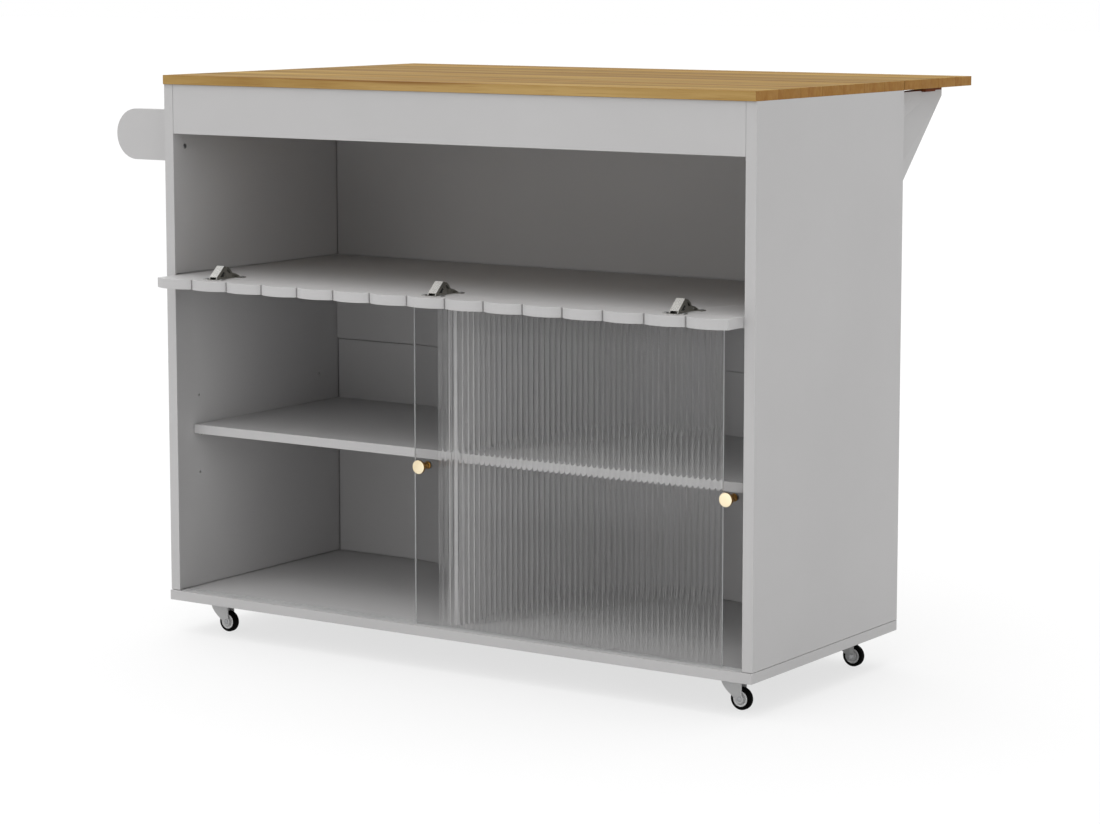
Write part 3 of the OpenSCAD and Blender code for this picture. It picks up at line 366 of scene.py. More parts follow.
def make_oiled_wood(name, light, middle, dark, line, edge_painted_shade_tint, face_painted_shade_tint):
    """Oiled wood: long grain along X, tone by strip, reddish lines, few knots, darker end grain.
    Its wide faces and its long edges each get their own tint, a painted shade that darkens the wide faces more than the
    edges, against the stronger light from above."""
    material, tree, shader = new_material(name)
    place = add(tree, "ShaderNodeTexCoord")
    strip = add(tree, "ShaderNodeAttribute", attribute_name="strip_tone")
    across = add(tree, "ShaderNodeAttribute", attribute_name="strip_across")
    own = add(tree, "ShaderNodeVectorMath", {0: (3.1, 0.7, 1.3), 3: strip.outputs["Fac"]}, operation="SCALE")
    shift = add(tree, "ShaderNodeVectorMath", {0: place.outputs["Object"], 1: own.outputs[0]},
                operation="ADD").outputs[0]
    bands = stretched_noise(tree, shift, (2.2, 42.0, 42.0), 4.0, 0.6)
    streaks = stretched_noise(tree, shift, (0.8, 36.0, 36.0), 2.0, 0.3)
    pores = stretched_noise(tree, shift, (14.0, 700.0, 700.0), 2.0)
    ramp = add(tree, "ShaderNodeValToRGB", {"Fac": bands})
    stops = ramp.color_ramp
    stops.elements[0].position, stops.elements[0].color = 0.3, dark
    stops.elements[1].position, stops.elements[1].color = 0.68, light
    stops.elements.new(0.5).color = middle
    toned = add(tree, "ShaderNodeVectorMath", {0: ramp.outputs["Color"],
                3: spread(tree, strip.outputs["Fac"], 0.0, 1.0, 0.8, 1.14)}, operation="SCALE").outputs[0]
    lined = blend_tones(tree, spread(tree, streaks, 0.54, 0.64, 0.0, 0.8), toned, line)
    pored = blend_tones(tree, spread(tree, pores, 0.56, 0.72, 0.0, 0.35), lined, line)
    drawn = add(tree, "ShaderNodeMapping", {"Vector": shift, "Scale": (7.0, 34.0, 34.0)})
    cells = add(tree, "ShaderNodeTexVoronoi", {"Vector": drawn.outputs[0], "Scale": 1.0})
    rare = reckon(tree, "GREATER_THAN", add(tree, "ShaderNodeSeparateColor",
                  {0: cells.outputs["Color"]}).outputs[0], 0.86)
    knot = reckon(tree, "MULTIPLY", rare, spread(tree, cells.outputs["Distance"], 0.08, 0.16, 0.75, 0.0))
    knotted = blend_tones(tree, knot, pored, line)
    facing = add(tree, "ShaderNodeSeparateXYZ", {0: place.outputs["Normal"]})
    on_end, on_edge, on_face = (spread(tree, reckon(tree, "ABSOLUTE", facing.outputs[i]), 0.7, 0.9)
                                for i in range(3))
    edge = reckon(tree, "ABSOLUTE", reckon(tree, "SUBTRACT", across.outputs["Fac"], 0.5))
    seam = reckon(tree, "MULTIPLY", spread(tree, edge, 0.478, 0.494, 0.0, 0.7),
                  reckon(tree, "SUBTRACT", 1.0, on_edge))
    glued = blend_tones(tree, seam, knotted, line)
    # Painted shade: the wide faces and the long edges are darkened by their own amounts, by which way they face.
    tint = blend_tones(tree, on_face, edge_painted_shade_tint, face_painted_shade_tint)
    tinted = add(tree, "ShaderNodeVectorMath", {0: glued, 1: tint}, operation="MULTIPLY").outputs[0]
    rings = stretched_noise(tree, shift, (60.0, 220.0, 90.0), 2.0)
    grain_end = blend_tones(tree, rings, dark, line)
    sawn = reckon(tree, "MULTIPLY", on_end, 0.8)
    tree.links.new(blend_tones(tree, sawn, tinted, grain_end), shader.inputs["Base Color"])
    tree.links.new(spread(tree, bands, 0.3, 0.7, 0.72, 0.58), shader.inputs["Roughness"])
    bump = add(tree, "ShaderNodeBump", {"Strength": 0.15, "Distance": 0.2 * MM, "Height": pores})
    tree.links.new(bump.outputs[0], shader.inputs["Normal"])
    shader.inputs["Specular IOR Level"].default_value = 0.08
    return material


# The last two tones tint the long edges and the wide faces: painted shade, darker on the wide faces, against the
# stronger light from above.
oiled_wood = make_oiled_wood("oiled_golden_wood", tone(196, 162, 98), tone(180, 144, 80),
                             tone(160, 121, 62), tone(134, 86, 40), (0.73, 0.74, 0.83, 1), (0.56, 0.55, 0.38, 1))
strip_rule = make_strip_rule()
STRIP_W = 64 * MM
STRIP_EDGE = 0.3 * MM
for node, name, body, seed in (("worktop", "worktop_strips", "cabinet", 4),
                               ("drop_leaf", "leaf_strips", "drop_leaf", 9)):
    low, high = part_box(node)
    strips = round((high.y - low.y) / STRIP_W)
    slab = grow(strip_rule, {"Corner": low, "Length": high.x - low.x, "Strips": strips,
                "Strip width": (high.y - low.y) / strips, "Thickness": high.z - low.z,
                "Seed": seed, "Material": oiled_wood})
    dress(keep(name, soften(slab, STRIP_EDGE, 1)), body, "worktop_wood", oiled_wood, node)


# Rear hinges. Steel butt hinges, nickel plated, join the leaf to the worktop and each bracket to
# a side panel; their knuckles turn on plain steel pins.
def plated(name, low, high, rough_low, rough_high, grain):
    """A metal with fine streaks in its gloss, and tiny scuffs."""
    material, shader = skinned(name, low, high, rough_low, rough_high, grain, 60.0, 0.02)
    shader.inputs["Metallic"].default_value = 1.0
    return material


nickel = plated("nickel_plate", tone(196, 195, 192), tone(214, 213, 209), 0.2, 0.34, 700.0)
steel = plated("plain_steel", tone(140, 141, 143), tone(166, 167, 168), 0.3, 0.45, 900.0)
PLATE_EDGE = 0.15 * MM
PIN_EDGE = 0.2 * MM
for node, body in (("leaf_hinge_fixed_plates", "cabinet"), ("leaf_hinge_moving_plates", "drop_leaf"),
                   ("bracket_hinge_fixed_plates", "cabinet"), ("left_bracket_hinge_plates", "left_bracket"),
                   ("right_bracket_hinge_plates", "right_bracket")):
    plates = keep("plated_" + node, soften(packed_copy(node), PLATE_EDGE, 1))
    dress(plates, body, "nickel", nickel, node)
pins = keep("turned_rear_hinge_pins", soften(packed_copy("rear_hinge_pins"), PIN_EDGE, 1))
dress(pins, "cabinet", "steel", steel, "rear_hinge_pins")


# Leaf brackets. Each is a three-cornered painted board whose faces are coloured brown wood along a narrow band
# at its upper edge. It swings out square under the leaf and stops against a small block on its underside.
dark_wood = make_oiled_wood("brown_band_and_stop_wood", tone(168, 98, 58), tone(142, 78, 44),
                            tone(116, 60, 32), tone(84, 40, 22), (1, 1, 1, 1), (1, 1, 1, 1))
BRACKET_EDGE = 0.5 * MM
BROWN_BAND = 3.6 * MM
for node in ("left_bracket", "right_bracket"):
    board = soften(packed_copy(node), BRACKET_EDGE)
    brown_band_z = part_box(node)[1].z - BROWN_BAND
    bmesh.ops.bisect_plane(board, geom=board.verts[:] + board.edges[:] + board.faces[:],
                           plane_co=(0, 0, brown_band_z), plane_no=(0, 0, 1))
    bracket = keep("painted_" + node, board)
    dress(bracket, node, "painted_board", grey_paint, node)
    inlay(bracket, dark_wood, lambda face: face.center.z > brown_band_z)
stops = keep("stained_bracket_stops", soften(packed_copy("bracket_stops"), BRACKET_EDGE, 1))
dress(stops, "drop_leaf", "worktop_wood", dark_wood, "bracket_stops")


# Towel rail. Two painted boards with a round end are screwed to the left side from inside, and
# a polished tube sits in a blind socket in each.
CHEEK_EDGE = 0.6 * MM
for node in ("towel_cheek_front", "towel_cheek_rear"):
    cheek = keep("painted_" + node, soften(packed_copy(node), CHEEK_EDGE))
    dress(cheek, "cabinet", "painted_board", grey_paint, node)
rod = keep("polished_towel_rod", soften(packed_copy("towel_rod"), 2 * PIN_EDGE, 1))
dress(rod, "cabinet", "nickel", nickel, "towel_rod")


# Shelf pins. Eight plated pins, pushed into the middle row of holes, carry the two loose shelves.
shelf_pins = keep("plated_shelf_pins", soften(packed_copy("shelf_pins"), 2 * PIN_EDGE))
dress(shelf_pins, "cabinet", "nickel", nickel, "shelf_pins")


# Door tracks. Two extruded plastic channels, one let into the base and one under the fixed shelf.
track_plastic, _ = skinned("track_plastic", tone(166, 166, 166), tone(174, 174, 174), 0.35, 0.5, 600.0)
for node in ("lower_door_track", "upper_door_track"):
    track = keep("extruded_" + node, soften(packed_copy(node), 2 * PLATE_EDGE, 1))
    dress(track, "cabinet", "track_plastic", track_plastic, node)


# Scalloped flap. A painted board with fifteen round lobes routed along its front edge, a narrow
# cut between each two, and three round bores for the hinge cups.
def make_scallop_rule():
    """A board whose front edge is a row of arcs with a narrow cut at each cusp."""
    tree, given, out = new_rule("scalloped_board", [
        ("Corner", "NodeSocketVector", (0, 0, 0)), ("Pitch", "NodeSocketFloat", 0.07),
        ("Lobes", "NodeSocketInt", 15), ("Steps", "NodeSocketInt", 18), ("Cusp", "NodeSocketFloat", 0.04),
        ("Rise", "NodeSocketFloat", 0.012), ("Cut width", "NodeSocketFloat", 0.002),
        ("Cut depth", "NodeSocketFloat", 0.004), ("Thickness", "NodeSocketFloat", 0.016)])
    pitch, lobes, steps, cusp, rise, cut_w, cut_d, height = (given.outputs[n] for n in (
        "Pitch", "Lobes", "Steps", "Cusp", "Rise", "Cut width", "Cut depth", "Thickness"))
    columns = reckon(tree, "MULTIPLY", lobes, steps)
    grid = add(tree, "GeometryNodeMeshGrid", {"Size X": 1.0, "Size Y": 1.0, "Vertices X": columns,
               "Vertices Y": 2})
    index = add(tree, "GeometryNodeInputIndex").outputs[0]
    column = reckon(tree, "FLOOR", reckon(tree, "DIVIDE", index, 2.0))
    rear = reckon(tree, "MODULO", index, 2.0)
    lobe = reckon(tree, "FLOOR", reckon(tree, "DIVIDE", reckon(tree, "ADD", column, 0.5), steps))
    step = reckon(tree, "SUBTRACT", column, reckon(tree, "MULTIPLY", lobe, steps))
    last = reckon(tree, "SUBTRACT", steps, 1.0)
    opening = reckon(tree, "COMPARE", step, 0.0, 0.1)
    closing = reckon(tree, "COMPARE", step, last, 0.1)
    share = reckon(tree, "DIVIDE", reckon(tree, "SUBTRACT", step, 1.0), reckon(tree, "SUBTRACT", last, 2.0))
    along = reckon(tree, "MINIMUM", reckon(tree, "MAXIMUM", share, 0.0), 1.0)
    rim = reckon(tree, "DIVIDE", reckon(tree, "MULTIPLY", cut_w, 0.5), pitch)
    phase = reckon(tree, "ADD", rim, reckon(tree, "MULTIPLY", along,
                   reckon(tree, "SUBTRACT", 1.0, reckon(tree, "MULTIPLY", rim, 2.0))))
    taper = reckon(tree, "MULTIPLY", rim, 0.2)
    pulled = reckon(tree, "MULTIPLY", taper, reckon(tree, "SUBTRACT", closing, opening))
    start = reckon(tree, "COMPARE", column, 0.0, 0.1)
    end = reckon(tree, "COMPARE", column, reckon(tree, "SUBTRACT", columns, 1.0), 0.1)
    outer_pull = reckon(tree, "MULTIPLY", rim, reckon(tree, "SUBTRACT", end, start))
    at_end = reckon(tree, "ADD", start, end)
    inner_pull = reckon(tree, "MULTIPLY", pulled, reckon(tree, "SUBTRACT", 1.0, at_end))
    place = reckon(tree, "ADD", reckon(tree, "ADD", lobe, phase), reckon(tree, "ADD", outer_pull, inner_pull))
    half = reckon(tree, "MULTIPLY", pitch, 0.5)
    radius = reckon(tree, "DIVIDE", reckon(tree, "ADD", reckon(tree, "POWER", half, 2.0),
                    reckon(tree, "POWER", rise, 2.0)), reckon(tree, "MULTIPLY", rise, 2.0))
    off = reckon(tree, "MULTIPLY", reckon(tree, "SUBTRACT", phase, 0.5), pitch)
    chord = reckon(tree, "SQRT", reckon(tree, "SUBTRACT", reckon(tree, "POWER", radius, 2.0),
                   reckon(tree, "POWER", off, 2.0)))
    bulge = reckon(tree, "ADD", reckon(tree, "SUBTRACT", chord, radius), rise)
    in_cut = reckon(tree, "SUBTRACT", reckon(tree, "ADD", opening, closing), at_end)
    dip = reckon(tree, "MULTIPLY", in_cut, reckon(tree, "ADD", bulge, cut_d))
    reach = reckon(tree, "SUBTRACT", reckon(tree, "ADD", cusp, bulge), dip)
    forward = reckon(tree, "MULTIPLY", reach, reckon(tree, "SUBTRACT", rear, 1.0))
    local = vector(tree, reckon(tree, "MULTIPLY", place, pitch), forward)
    spot = add(tree, "ShaderNodeVectorMath", {0: given.outputs["Corner"], 1: local}, operation="ADD")
    sheet = add(tree, "GeometryNodeSetPosition", {"Geometry": grid.outputs[0], "Position": spot.outputs[0]})
    raised = add(tree, "GeometryNodeExtrudeMesh", {"Mesh": sheet.outputs[0], "Offset": vector(tree, z=height),
                 "Offset Scale": 1.0, "Individual": False}, mode="FACES")
    under = add(tree, "GeometryNodeFlipFaces", {"Mesh": sheet.outputs[0]})
    whole = add(tree, "GeometryNodeJoinGeometry")
    tree.links.new(raised.outputs[0], whole.inputs[0])
    tree.links.new(under.outputs[0], whole.inputs[0])
    sealed = add(tree, "GeometryNodeMergeByDistance", {"Geometry": whole.outputs[0], "Distance": 0.01 * MM})
    return end_rule(tree, given, out, sealed.outputs[0])


def turned(profile, steps=32, ring=False):
    """A solid turned about Z from points of radius and height; a ring closes on its first point."""
    made = bmesh.new()
    rings = []
    for radius, height in profile:
        count = steps if radius > 0 else 1
        turns = [2 * math.pi * i / count for i in range(count)]
        rings.append([made.verts.new((radius * math.cos(t), radius * math.sin(t), height)) for t in turns])
    for lower, upper in zip(rings, rings[1:] + (rings[:1] if ring else [])):
        for i in range(steps):
            corners = [row[k % len(row)] for row, k in ((lower, i), (lower, i + 1), (upper, i + 1), (upper, i))]
            corners = list(dict.fromkeys(corners))
            if len(corners) > 2:
                made.faces.new(corners)
    if not ring:
        for row in (rings[0], rings[-1]):
            if len(row) > 2:
                made.faces.new(row)
    bmesh.ops.recalc_face_normals(made, faces=made.faces)
    return made


def put(copy, *moves):
    """Moves a mesh by each matrix in turn."""
    for move in moves:
        bmesh.ops.transform(copy, matrix=move, verts=copy.verts)
    return copy


def solids(node):
    """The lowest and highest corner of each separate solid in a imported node, and its points."""
    copy = packed_copy(node)
    found, seen = [], set()
    for start in copy.verts:
        if start in seen:
            continue
        group, waiting = [], [start]
        seen.add(start)
        while waiting:
            point = waiting.pop()
            group.append(point.co.copy())
            for other in (edge.other_vert(point) for edge in point.link_edges):
                if other not in seen:
                    seen.add(other)
                    waiting.append(other)
        low = Vector(min(p[i] for p in group) for i in range(3))
        high = Vector(max(p[i] for p in group) for i in range(3))
        found.append((low, high, group))
    copy.free()
    return found


LOBES = 15
CUSP_CUT_W = 2.6 * MM
CUSP_CUT_DEPTH = 4 * MM
FLAP_CUSP = 43 * MM
CUP_R = 13 * MM
CUP_DEPTH = 10 * MM
CUP_BACK = 24 * MM
FLAP_EDGE = 0.35 * MM
low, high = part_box("scalloped_flap")
hinge_pins = [(a + b) / 2 for a, b, _ in solids("flap_hinge_pins")]
flap = grow(make_scallop_rule(), {
    "Corner": (low.x, high.y, low.z), "Pitch": (high.x - low.x) / LOBES, "Lobes": LOBES, "Cusp": FLAP_CUSP,
    "Rise": high.y - low.y - FLAP_CUSP, "Cut width": CUSP_CUT_W, "Cut depth": CUSP_CUT_DEPTH,
    "Thickness": high.z - low.z, "Material": grey_paint})
bmesh.ops.dissolve_limit(flap, angle_limit=math.radians(0.5), verts=flap.verts, edges=flap.edges)
bores = [put(turned([(0, high.z - CUP_DEPTH), (CUP_R, high.z - CUP_DEPTH), (CUP_R, high.z + OVERRUN),
         (0, high.z + OVERRUN)]), Matrix.Translation((pin.x, pin.y - CUP_BACK, 0))) for pin in hinge_pins]
flap = keep("painted_scalloped_flap", soften(carve(flap, *bores), FLAP_EDGE))
dress(flap, "flap", "painted_board", grey_paint, "scalloped_flap")


# Flap hinges. Each is a concealed furniture hinge: a pressed cup in the flap under a slanted
# cover with side plates, and a folded arm on a winged plate screwed to the fixed shelf.
def sheet_x(outline, x0, x1):
    """A plate of an outline in Y and Z, from one X to another."""
    made = bmesh.new()
    near = [made.verts.new((x0, y, z)) for y, z in outline]
    face = made.faces.new(near)
    far = bmesh.ops.extrude_face_region(made, geom=[face])["geom"]
    bmesh.ops.translate(made, vec=(x1 - x0, 0, 0), verts=[v for v in far if isinstance(v, bmesh.types.BMVert)])
    bmesh.ops.recalc_face_normals(made, faces=made.faces)
    return made


def gather(parts):
    """Joins meshes into one, and frees them."""
    whole = bmesh.new()
    for part in parts:
        mesh = bpy.data.meshes.new("part")
        part.to_mesh(mesh)
        part.free()
        whole.from_mesh(mesh)
    return whole


def drilled(part, radius, *places):
    """Bores round holes along X through a plate, at places in Y and Z."""
    rods = [put(turned([(0, -20 * MM), (radius, -20 * MM), (radius, 20 * MM), (0, 20 * MM)], 20),
            Matrix.Rotation(math.pi / 2, 4, "Y"), Matrix.Translation((0, y, z))) for y, z in places]
    return carve(part, *rods)


def rivet(radius, half, dome, y, z):
    """A rivet along X with a low dome at each end."""
    profile = [(0, -half - dome), (0.7 * radius, -half - 0.7 * dome), (radius, -half), (0.7 * radius, -half),
               (0.7 * radius, half), (radius, half), (0.7 * radius, half + 0.7 * dome), (0, half + dome)]
    return put(turned(profile, 16), Matrix.Rotation(math.pi / 2, 4, "Y"), Matrix.Translation((0, y, z)))


LIFT = 2.2 * MM
SHEET = 1 * MM
COVER_HALF = 7.7 * MM
COVER_FOOT = (-26.9 * MM, 2.2 * MM)
SIDE_FOOT = (-28.2 * MM, -1.2 * MM)
SHADE_SHEET_SETBACK = 2 * MM
SHADE_SHEET_OUT = 6.35 * MM
SHADE_SHEET_T = 0.5 * MM
COVER_TOP = (-7.5 * MM, 19.3 * MM)
CUP_PLATE = 1.2 * MM
SIDE_IN = 6.4 * MM
EYE = 1.9 * MM
ARM_HALF = 5.3 * MM
ARM_TOP = 16.8 * MM
ARM_L = 35 * MM
WING_HALF = 18 * MM
WING_D = 11 * MM
CUP_WING = 19 * MM
CUP_WING_D = 12 * MM
SLOT_HALF = 5.6 * MM
WING_T = 1.5 * MM


def hinge_cup():
    """The moving half round its pin: flange with wings, bowl, side plates and slanted cover."""
    flange = turned([(0, -LIFT), (CUP_R - 0.2 * MM, -LIFT), (CUP_R - 0.2 * MM, -LIFT + SHEET), (0, -LIFT + SHEET)], 48)
    put(flange, Matrix.Translation((0, -CUP_BACK, 0)))
    mouth = ((-SLOT_HALF, -CUP_BACK - 8 * MM, -2 * LIFT), (SLOT_HALF, -CUP_BACK + 10 * MM, LIFT))
    carve(flange, block(*mouth))
    wings = [block((side * CUP_WING, -CUP_BACK - CUP_WING_D / 2, -LIFT + 0.05 * MM),
             (side * 9 * MM, -CUP_BACK + CUP_WING_D / 2, -LIFT + SHEET)) for side in (-1, 1)]
    bowl = turned([(0, -LIFT - CUP_DEPTH + SHEET), (CUP_R - SHEET, -LIFT - CUP_DEPTH + SHEET),
                   (CUP_R - 0.3 * MM, -LIFT - CUP_DEPTH + 2 * SHEET), (CUP_R - 0.3 * MM, -LIFT),
                   (CUP_R - 0.3 * MM - SHEET, -LIFT), (CUP_R - 0.3 * MM - SHEET, -LIFT - CUP_DEPTH + 2.5 * SHEET),
                   (0, -LIFT - CUP_DEPTH + 2.5 * SHEET)], 48)
    put(bowl, Matrix.Translation((0, -CUP_BACK, 0)))
    foot, top = Vector(COVER_FOOT), Vector(COVER_TOP)
    run = (top - foot).normalized()
    square = Vector((run.y, -run.x)) * SHEET
    lip = 1.6 * MM
    cover = sheet_x([foot, top, top + Vector((lip, 0)), top + Vector((lip, -SHEET)),
                     top + Vector((0.4 * SHEET, -SHEET)), foot + square], -COVER_HALF, COVER_HALF)
    sides = []
    for x in (-COVER_HALF, SIDE_IN):
        shape = [Vector(SIDE_FOOT), foot + square, top + Vector((0.5 * MM, -SHEET)), top + Vector((3.5 * MM, -SHEET)),
                 Vector((-1 * MM, 12 * MM)), Vector((EYE, 3 * MM)), Vector((EYE, -0.5 * MM)),
                 Vector((-1.4 * MM, -LIFT + SHEET)), Vector((-24 * MM, -LIFT + SHEET))]
        side = sheet_x(shape, x, x + COVER_HALF - SIDE_IN)
        window = sheet_x([(-19 * MM, 1.6 * MM), (-10.6 * MM, 9.4 * MM), (-6.2 * MM, 9.4 * MM),
                          (-9.4 * MM, 1.6 * MM)], x - SHEET, x + 3 * SHEET)
        sides.append(drilled(carve(side, window), 1 * MM, (0, 0)))
    floor_z = -LIFT + SHEET
    # Two thin sheets just inside the side plates, made only to show black as painted shade behind the windows.
    shade_sheets = [sheet_x([(foot.x + SHADE_SHEET_SETBACK, floor_z), (foot.x + SHADE_SHEET_SETBACK, foot.y),
                       (-17 * MM, 6.4 * MM), (-9.6 * MM, 11.6 * MM), (-6.8 * MM, 9.6 * MM), (-9.6 * MM, floor_z)],
                      x, x + SHADE_SHEET_T) for x in (-SHADE_SHEET_OUT, SHADE_SHEET_OUT - SHADE_SHEET_T)]
    return gather([soften(part, 0.12 * MM, 1) for part in [flange, bowl, cover] + shade_sheets + wings + sides])


def hinge_arm():
    """The fixed half round its pin: two folded cheeks under a web, a link, rivets and a winged plate."""
    brow, tail = 15.4 * MM, 4.5 * MM
    outline = [(-0.8 * MM, 0), (-0.8 * MM, brow), (0.6 * MM, ARM_TOP), (4.6 * MM, ARM_TOP), (12 * MM, 11 * MM),
               (15 * MM, 6.5 * MM), (24 * MM, tail), (ARM_L, -LIFT + WING_T), (ARM_L, -LIFT + 0.2 * MM),
               (1.5 * MM, -LIFT + 0.2 * MM)]
    cheeks = []
    for x in (-ARM_HALF, ARM_HALF - SHEET):
        cheek = sheet_x(outline, x, x + SHEET)
        slot = sheet_x([(2.2 * MM, 12.6 * MM), (4.8 * MM, 12.6 * MM), (11 * MM, 7.2 * MM), (9.6 * MM, 5.4 * MM),
                        (6 * MM, 7.6 * MM), (2.2 * MM, 9 * MM)], x - SHEET, x + 2 * SHEET)
        notch = sheet_x([(15 * MM, 2.6 * MM), (22 * MM, 1.8 * MM), (22 * MM, 0), (15 * MM, 0)], x - SHEET, x + 2 * SHEET)
        cheeks.append(drilled(carve(cheek, slot, notch), 1 * MM, (0, 0)))
    web = sheet_x([(0.6 * MM, ARM_TOP), (4.6 * MM, ARM_TOP), (12 * MM, 11 * MM), (15 * MM, 6.5 * MM),
                   (24 * MM, tail), (24 * MM, tail - SHEET), (14.4 * MM, 5.4 * MM), (11.2 * MM, 10 * MM),
                   (4.2 * MM, ARM_TOP - SHEET), (0.6 * MM, ARM_TOP - SHEET)], -ARM_HALF, ARM_HALF)
    link = sheet_x([(-0.4 * MM, -1 * MM), (4 * MM, 2 * MM), (12 * MM, 3 * MM), (13 * MM, 5.4 * MM), (8 * MM, 7 * MM),
                    (1 * MM, 7 * MM)], -2.4 * MM, 2.4 * MM)
    rivets = [rivet(1.5 * MM, ARM_HALF, 0.45 * MM, y * MM, z * MM) for y, z in ((1.8, 13.8), (11.5, 8.6), (18.5, 3.6))]
    screw = turned([(0, tail), (2.2 * MM, tail), (2.6 * MM, tail + 0.9 * MM), (1.9 * MM, tail + 1.3 * MM),
                    (0, tail + 1.4 * MM)], 20)
    put(screw, Matrix.Translation((0, 20 * MM, 0)))
    plate = block((-WING_HALF, ARM_L - WING_D, -LIFT + 0.02 * MM), (WING_HALF, ARM_L, -LIFT + WING_T))
    return gather([soften(part, 0.12 * MM, 1) for part in cheeks + [web, link, screw, plate]] + rivets)


def on_pins(make):
    """One hinge half at each pin, joined."""
    return gather([put(make(), Matrix.Translation(pin)) for pin in hinge_pins])


# A darker copy of the plated steel, painted shade: it covers the sideways faces and the sunk parts of the cups, and the
# whole arms.
painted_shade_steel = plated("painted_shade_pressed_steel", tone(128, 127, 120), tone(160, 158, 150), 0.3, 0.45, 800.0)
# Black, as painted shade: the thin sheets inside the cups and the link inside each arm.
painted_shade_black, _ = skinned("painted_shade_black_sheet", tone(10, 10, 10), tone(14, 14, 14), 0.5, 0.7, 900.0)
cups = keep("pressed_flap_hinge_cups", on_pins(hinge_cup))
dress(cups, "flap", "nickel", nickel, "flap_hinge_cups")
# Painted shade: the sideways faces and the sunk parts of each cup take the darker steel.
inlay(cups, painted_shade_steel, lambda face: abs(face.normal.x) > 0.7 or face.center.z < shelf_top + 0.2 * MM)


def from_pin(place):
    """Where a place lies from the nearest hinge pin, in millimetres: aside, behind and above."""
    near = min(hinge_pins, key=lambda pin: abs(pin.x - place.x))
    return (Vector(place) - near) / MM


def in_shade_sheet(face):
    """True for the faces of the two thin black sheets just inside the side plates of a cup, which are painted shade."""
    aside, behind, above = from_pin(face.center)
    return 5.8 < abs(aside) < 6.38 and -25.1 < behind < -6.5 and above > -1.25


def in_link(face):
    """True for the faces of the link between an arm's cheeks, which is black as painted shade."""
    aside, behind, above = from_pin(face.center)
    return abs(aside) < 2.5 and -1 < behind < 13.1 and -1 < above < 7.1


inlay(cups, painted_shade_black, in_shade_sheet)
arms = keep("folded_flap_hinge_arms", on_pins(hinge_arm))
# The arms take the darker steel as painted shade.
dress(arms, "cabinet", "nickel", painted_shade_steel, "flap_hinge_arms")
inlay(arms, painted_shade_black, in_link)
pins = keep("turned_flap_hinge_pins", soften(packed_copy("flap_hinge_pins"), PIN_EDGE, 1))
dress(pins, "cabinet", "steel", steel, "flap_hinge_pins")


# Glass doors. Two rolled glass panes with upright flutes on their front face and a plain strip
# at the knob edge. Their edges are a pale opaque grey, a painted highlight for the glint of a glass edge.
def make_flute_rule():
    """A pane from its knob edge at the origin: a plain strip, then convex flutes on the front."""
    tree, given, out = new_rule("fluted_pane", [
        ("Plain", "NodeSocketFloat", 0.042), ("Pitch", "NodeSocketFloat", 0.01), ("Flutes", "NodeSocketInt", 52),
        ("Steps", "NodeSocketInt", 12), ("Depth", "NodeSocketFloat", 0.002),
        ("Thickness", "NodeSocketFloat", 0.005), ("Height", "NodeSocketFloat", 0.5)])
    plain, pitch, flutes, steps, depth, thickness, height = (given.outputs[n] for n in (
        "Plain", "Pitch", "Flutes", "Steps", "Depth", "Thickness", "Height"))
    columns = reckon(tree, "ADD", reckon(tree, "MULTIPLY", flutes, steps), 2.0)
    grid = add(tree, "GeometryNodeMeshGrid", {"Size X": 1.0, "Size Y": 1.0, "Vertices X": columns,
               "Vertices Y": 2})
    index = add(tree, "GeometryNodeInputIndex").outputs[0]
    column = reckon(tree, "FLOOR", reckon(tree, "DIVIDE", index, 2.0))
    upper = reckon(tree, "MODULO", index, 2.0)
    turn = reckon(tree, "DIVIDE", reckon(tree, "MAXIMUM", reckon(tree, "SUBTRACT", column, 1.0), 0.0), steps)
    fluted = reckon(tree, "GREATER_THAN", column, 0.5)
    along = reckon(tree, "ADD", reckon(tree, "MULTIPLY", plain, fluted), reckon(tree, "MULTIPLY", turn, pitch))
    flat = add(tree, "GeometryNodeSetPosition", {"Geometry": grid.outputs[0], "Position":
               vector(tree, along, thickness, reckon(tree, "MULTIPLY", upper, height))})
    drawn = add(tree, "GeometryNodeExtrudeMesh", {"Mesh": flat.outputs[0], "Individual": False,
                "Offset": vector(tree, y=reckon(tree, "MULTIPLY", thickness, -1.0)), "Offset Scale": 1.0}, mode="FACES")
    spot = add(tree, "ShaderNodeSeparateXYZ", {0: add(tree, "GeometryNodeInputPosition").outputs[0]})
    phase = reckon(tree, "DIVIDE", reckon(tree, "MAXIMUM", reckon(tree, "SUBTRACT", spot.outputs[0], plain), 0.0), pitch)
    wave = reckon(tree, "COSINE", reckon(tree, "MULTIPLY", reckon(tree, "FRACT", phase), math.tau))
    hollow = reckon(tree, "MULTIPLY", reckon(tree, "MULTIPLY", depth, 0.5), reckon(tree, "ADD", 1.0, wave))
    past = reckon(tree, "GREATER_THAN", spot.outputs[0], reckon(tree, "SUBTRACT", plain, 0.001 * MM))
    front = reckon(tree, "MULTIPLY", hollow, past)
    ribbed = add(tree, "GeometryNodeSetPosition", {"Geometry": drawn.outputs[0], "Selection": drawn.outputs[1],
                 "Offset": vector(tree, y=front)})
    back = add(tree, "GeometryNodeFlipFaces", {"Mesh": flat.outputs[0]})
    whole = add(tree, "GeometryNodeJoinGeometry")
    tree.links.new(ribbed.outputs[0], whole.inputs[0])
    tree.links.new(back.outputs[0], whole.inputs[0])
    sealed = add(tree, "GeometryNodeMergeByDistance", {"Geometry": whole.outputs[0], "Distance": 0.01 * MM})
    return end_rule(tree, given, out, sealed.outputs[0])


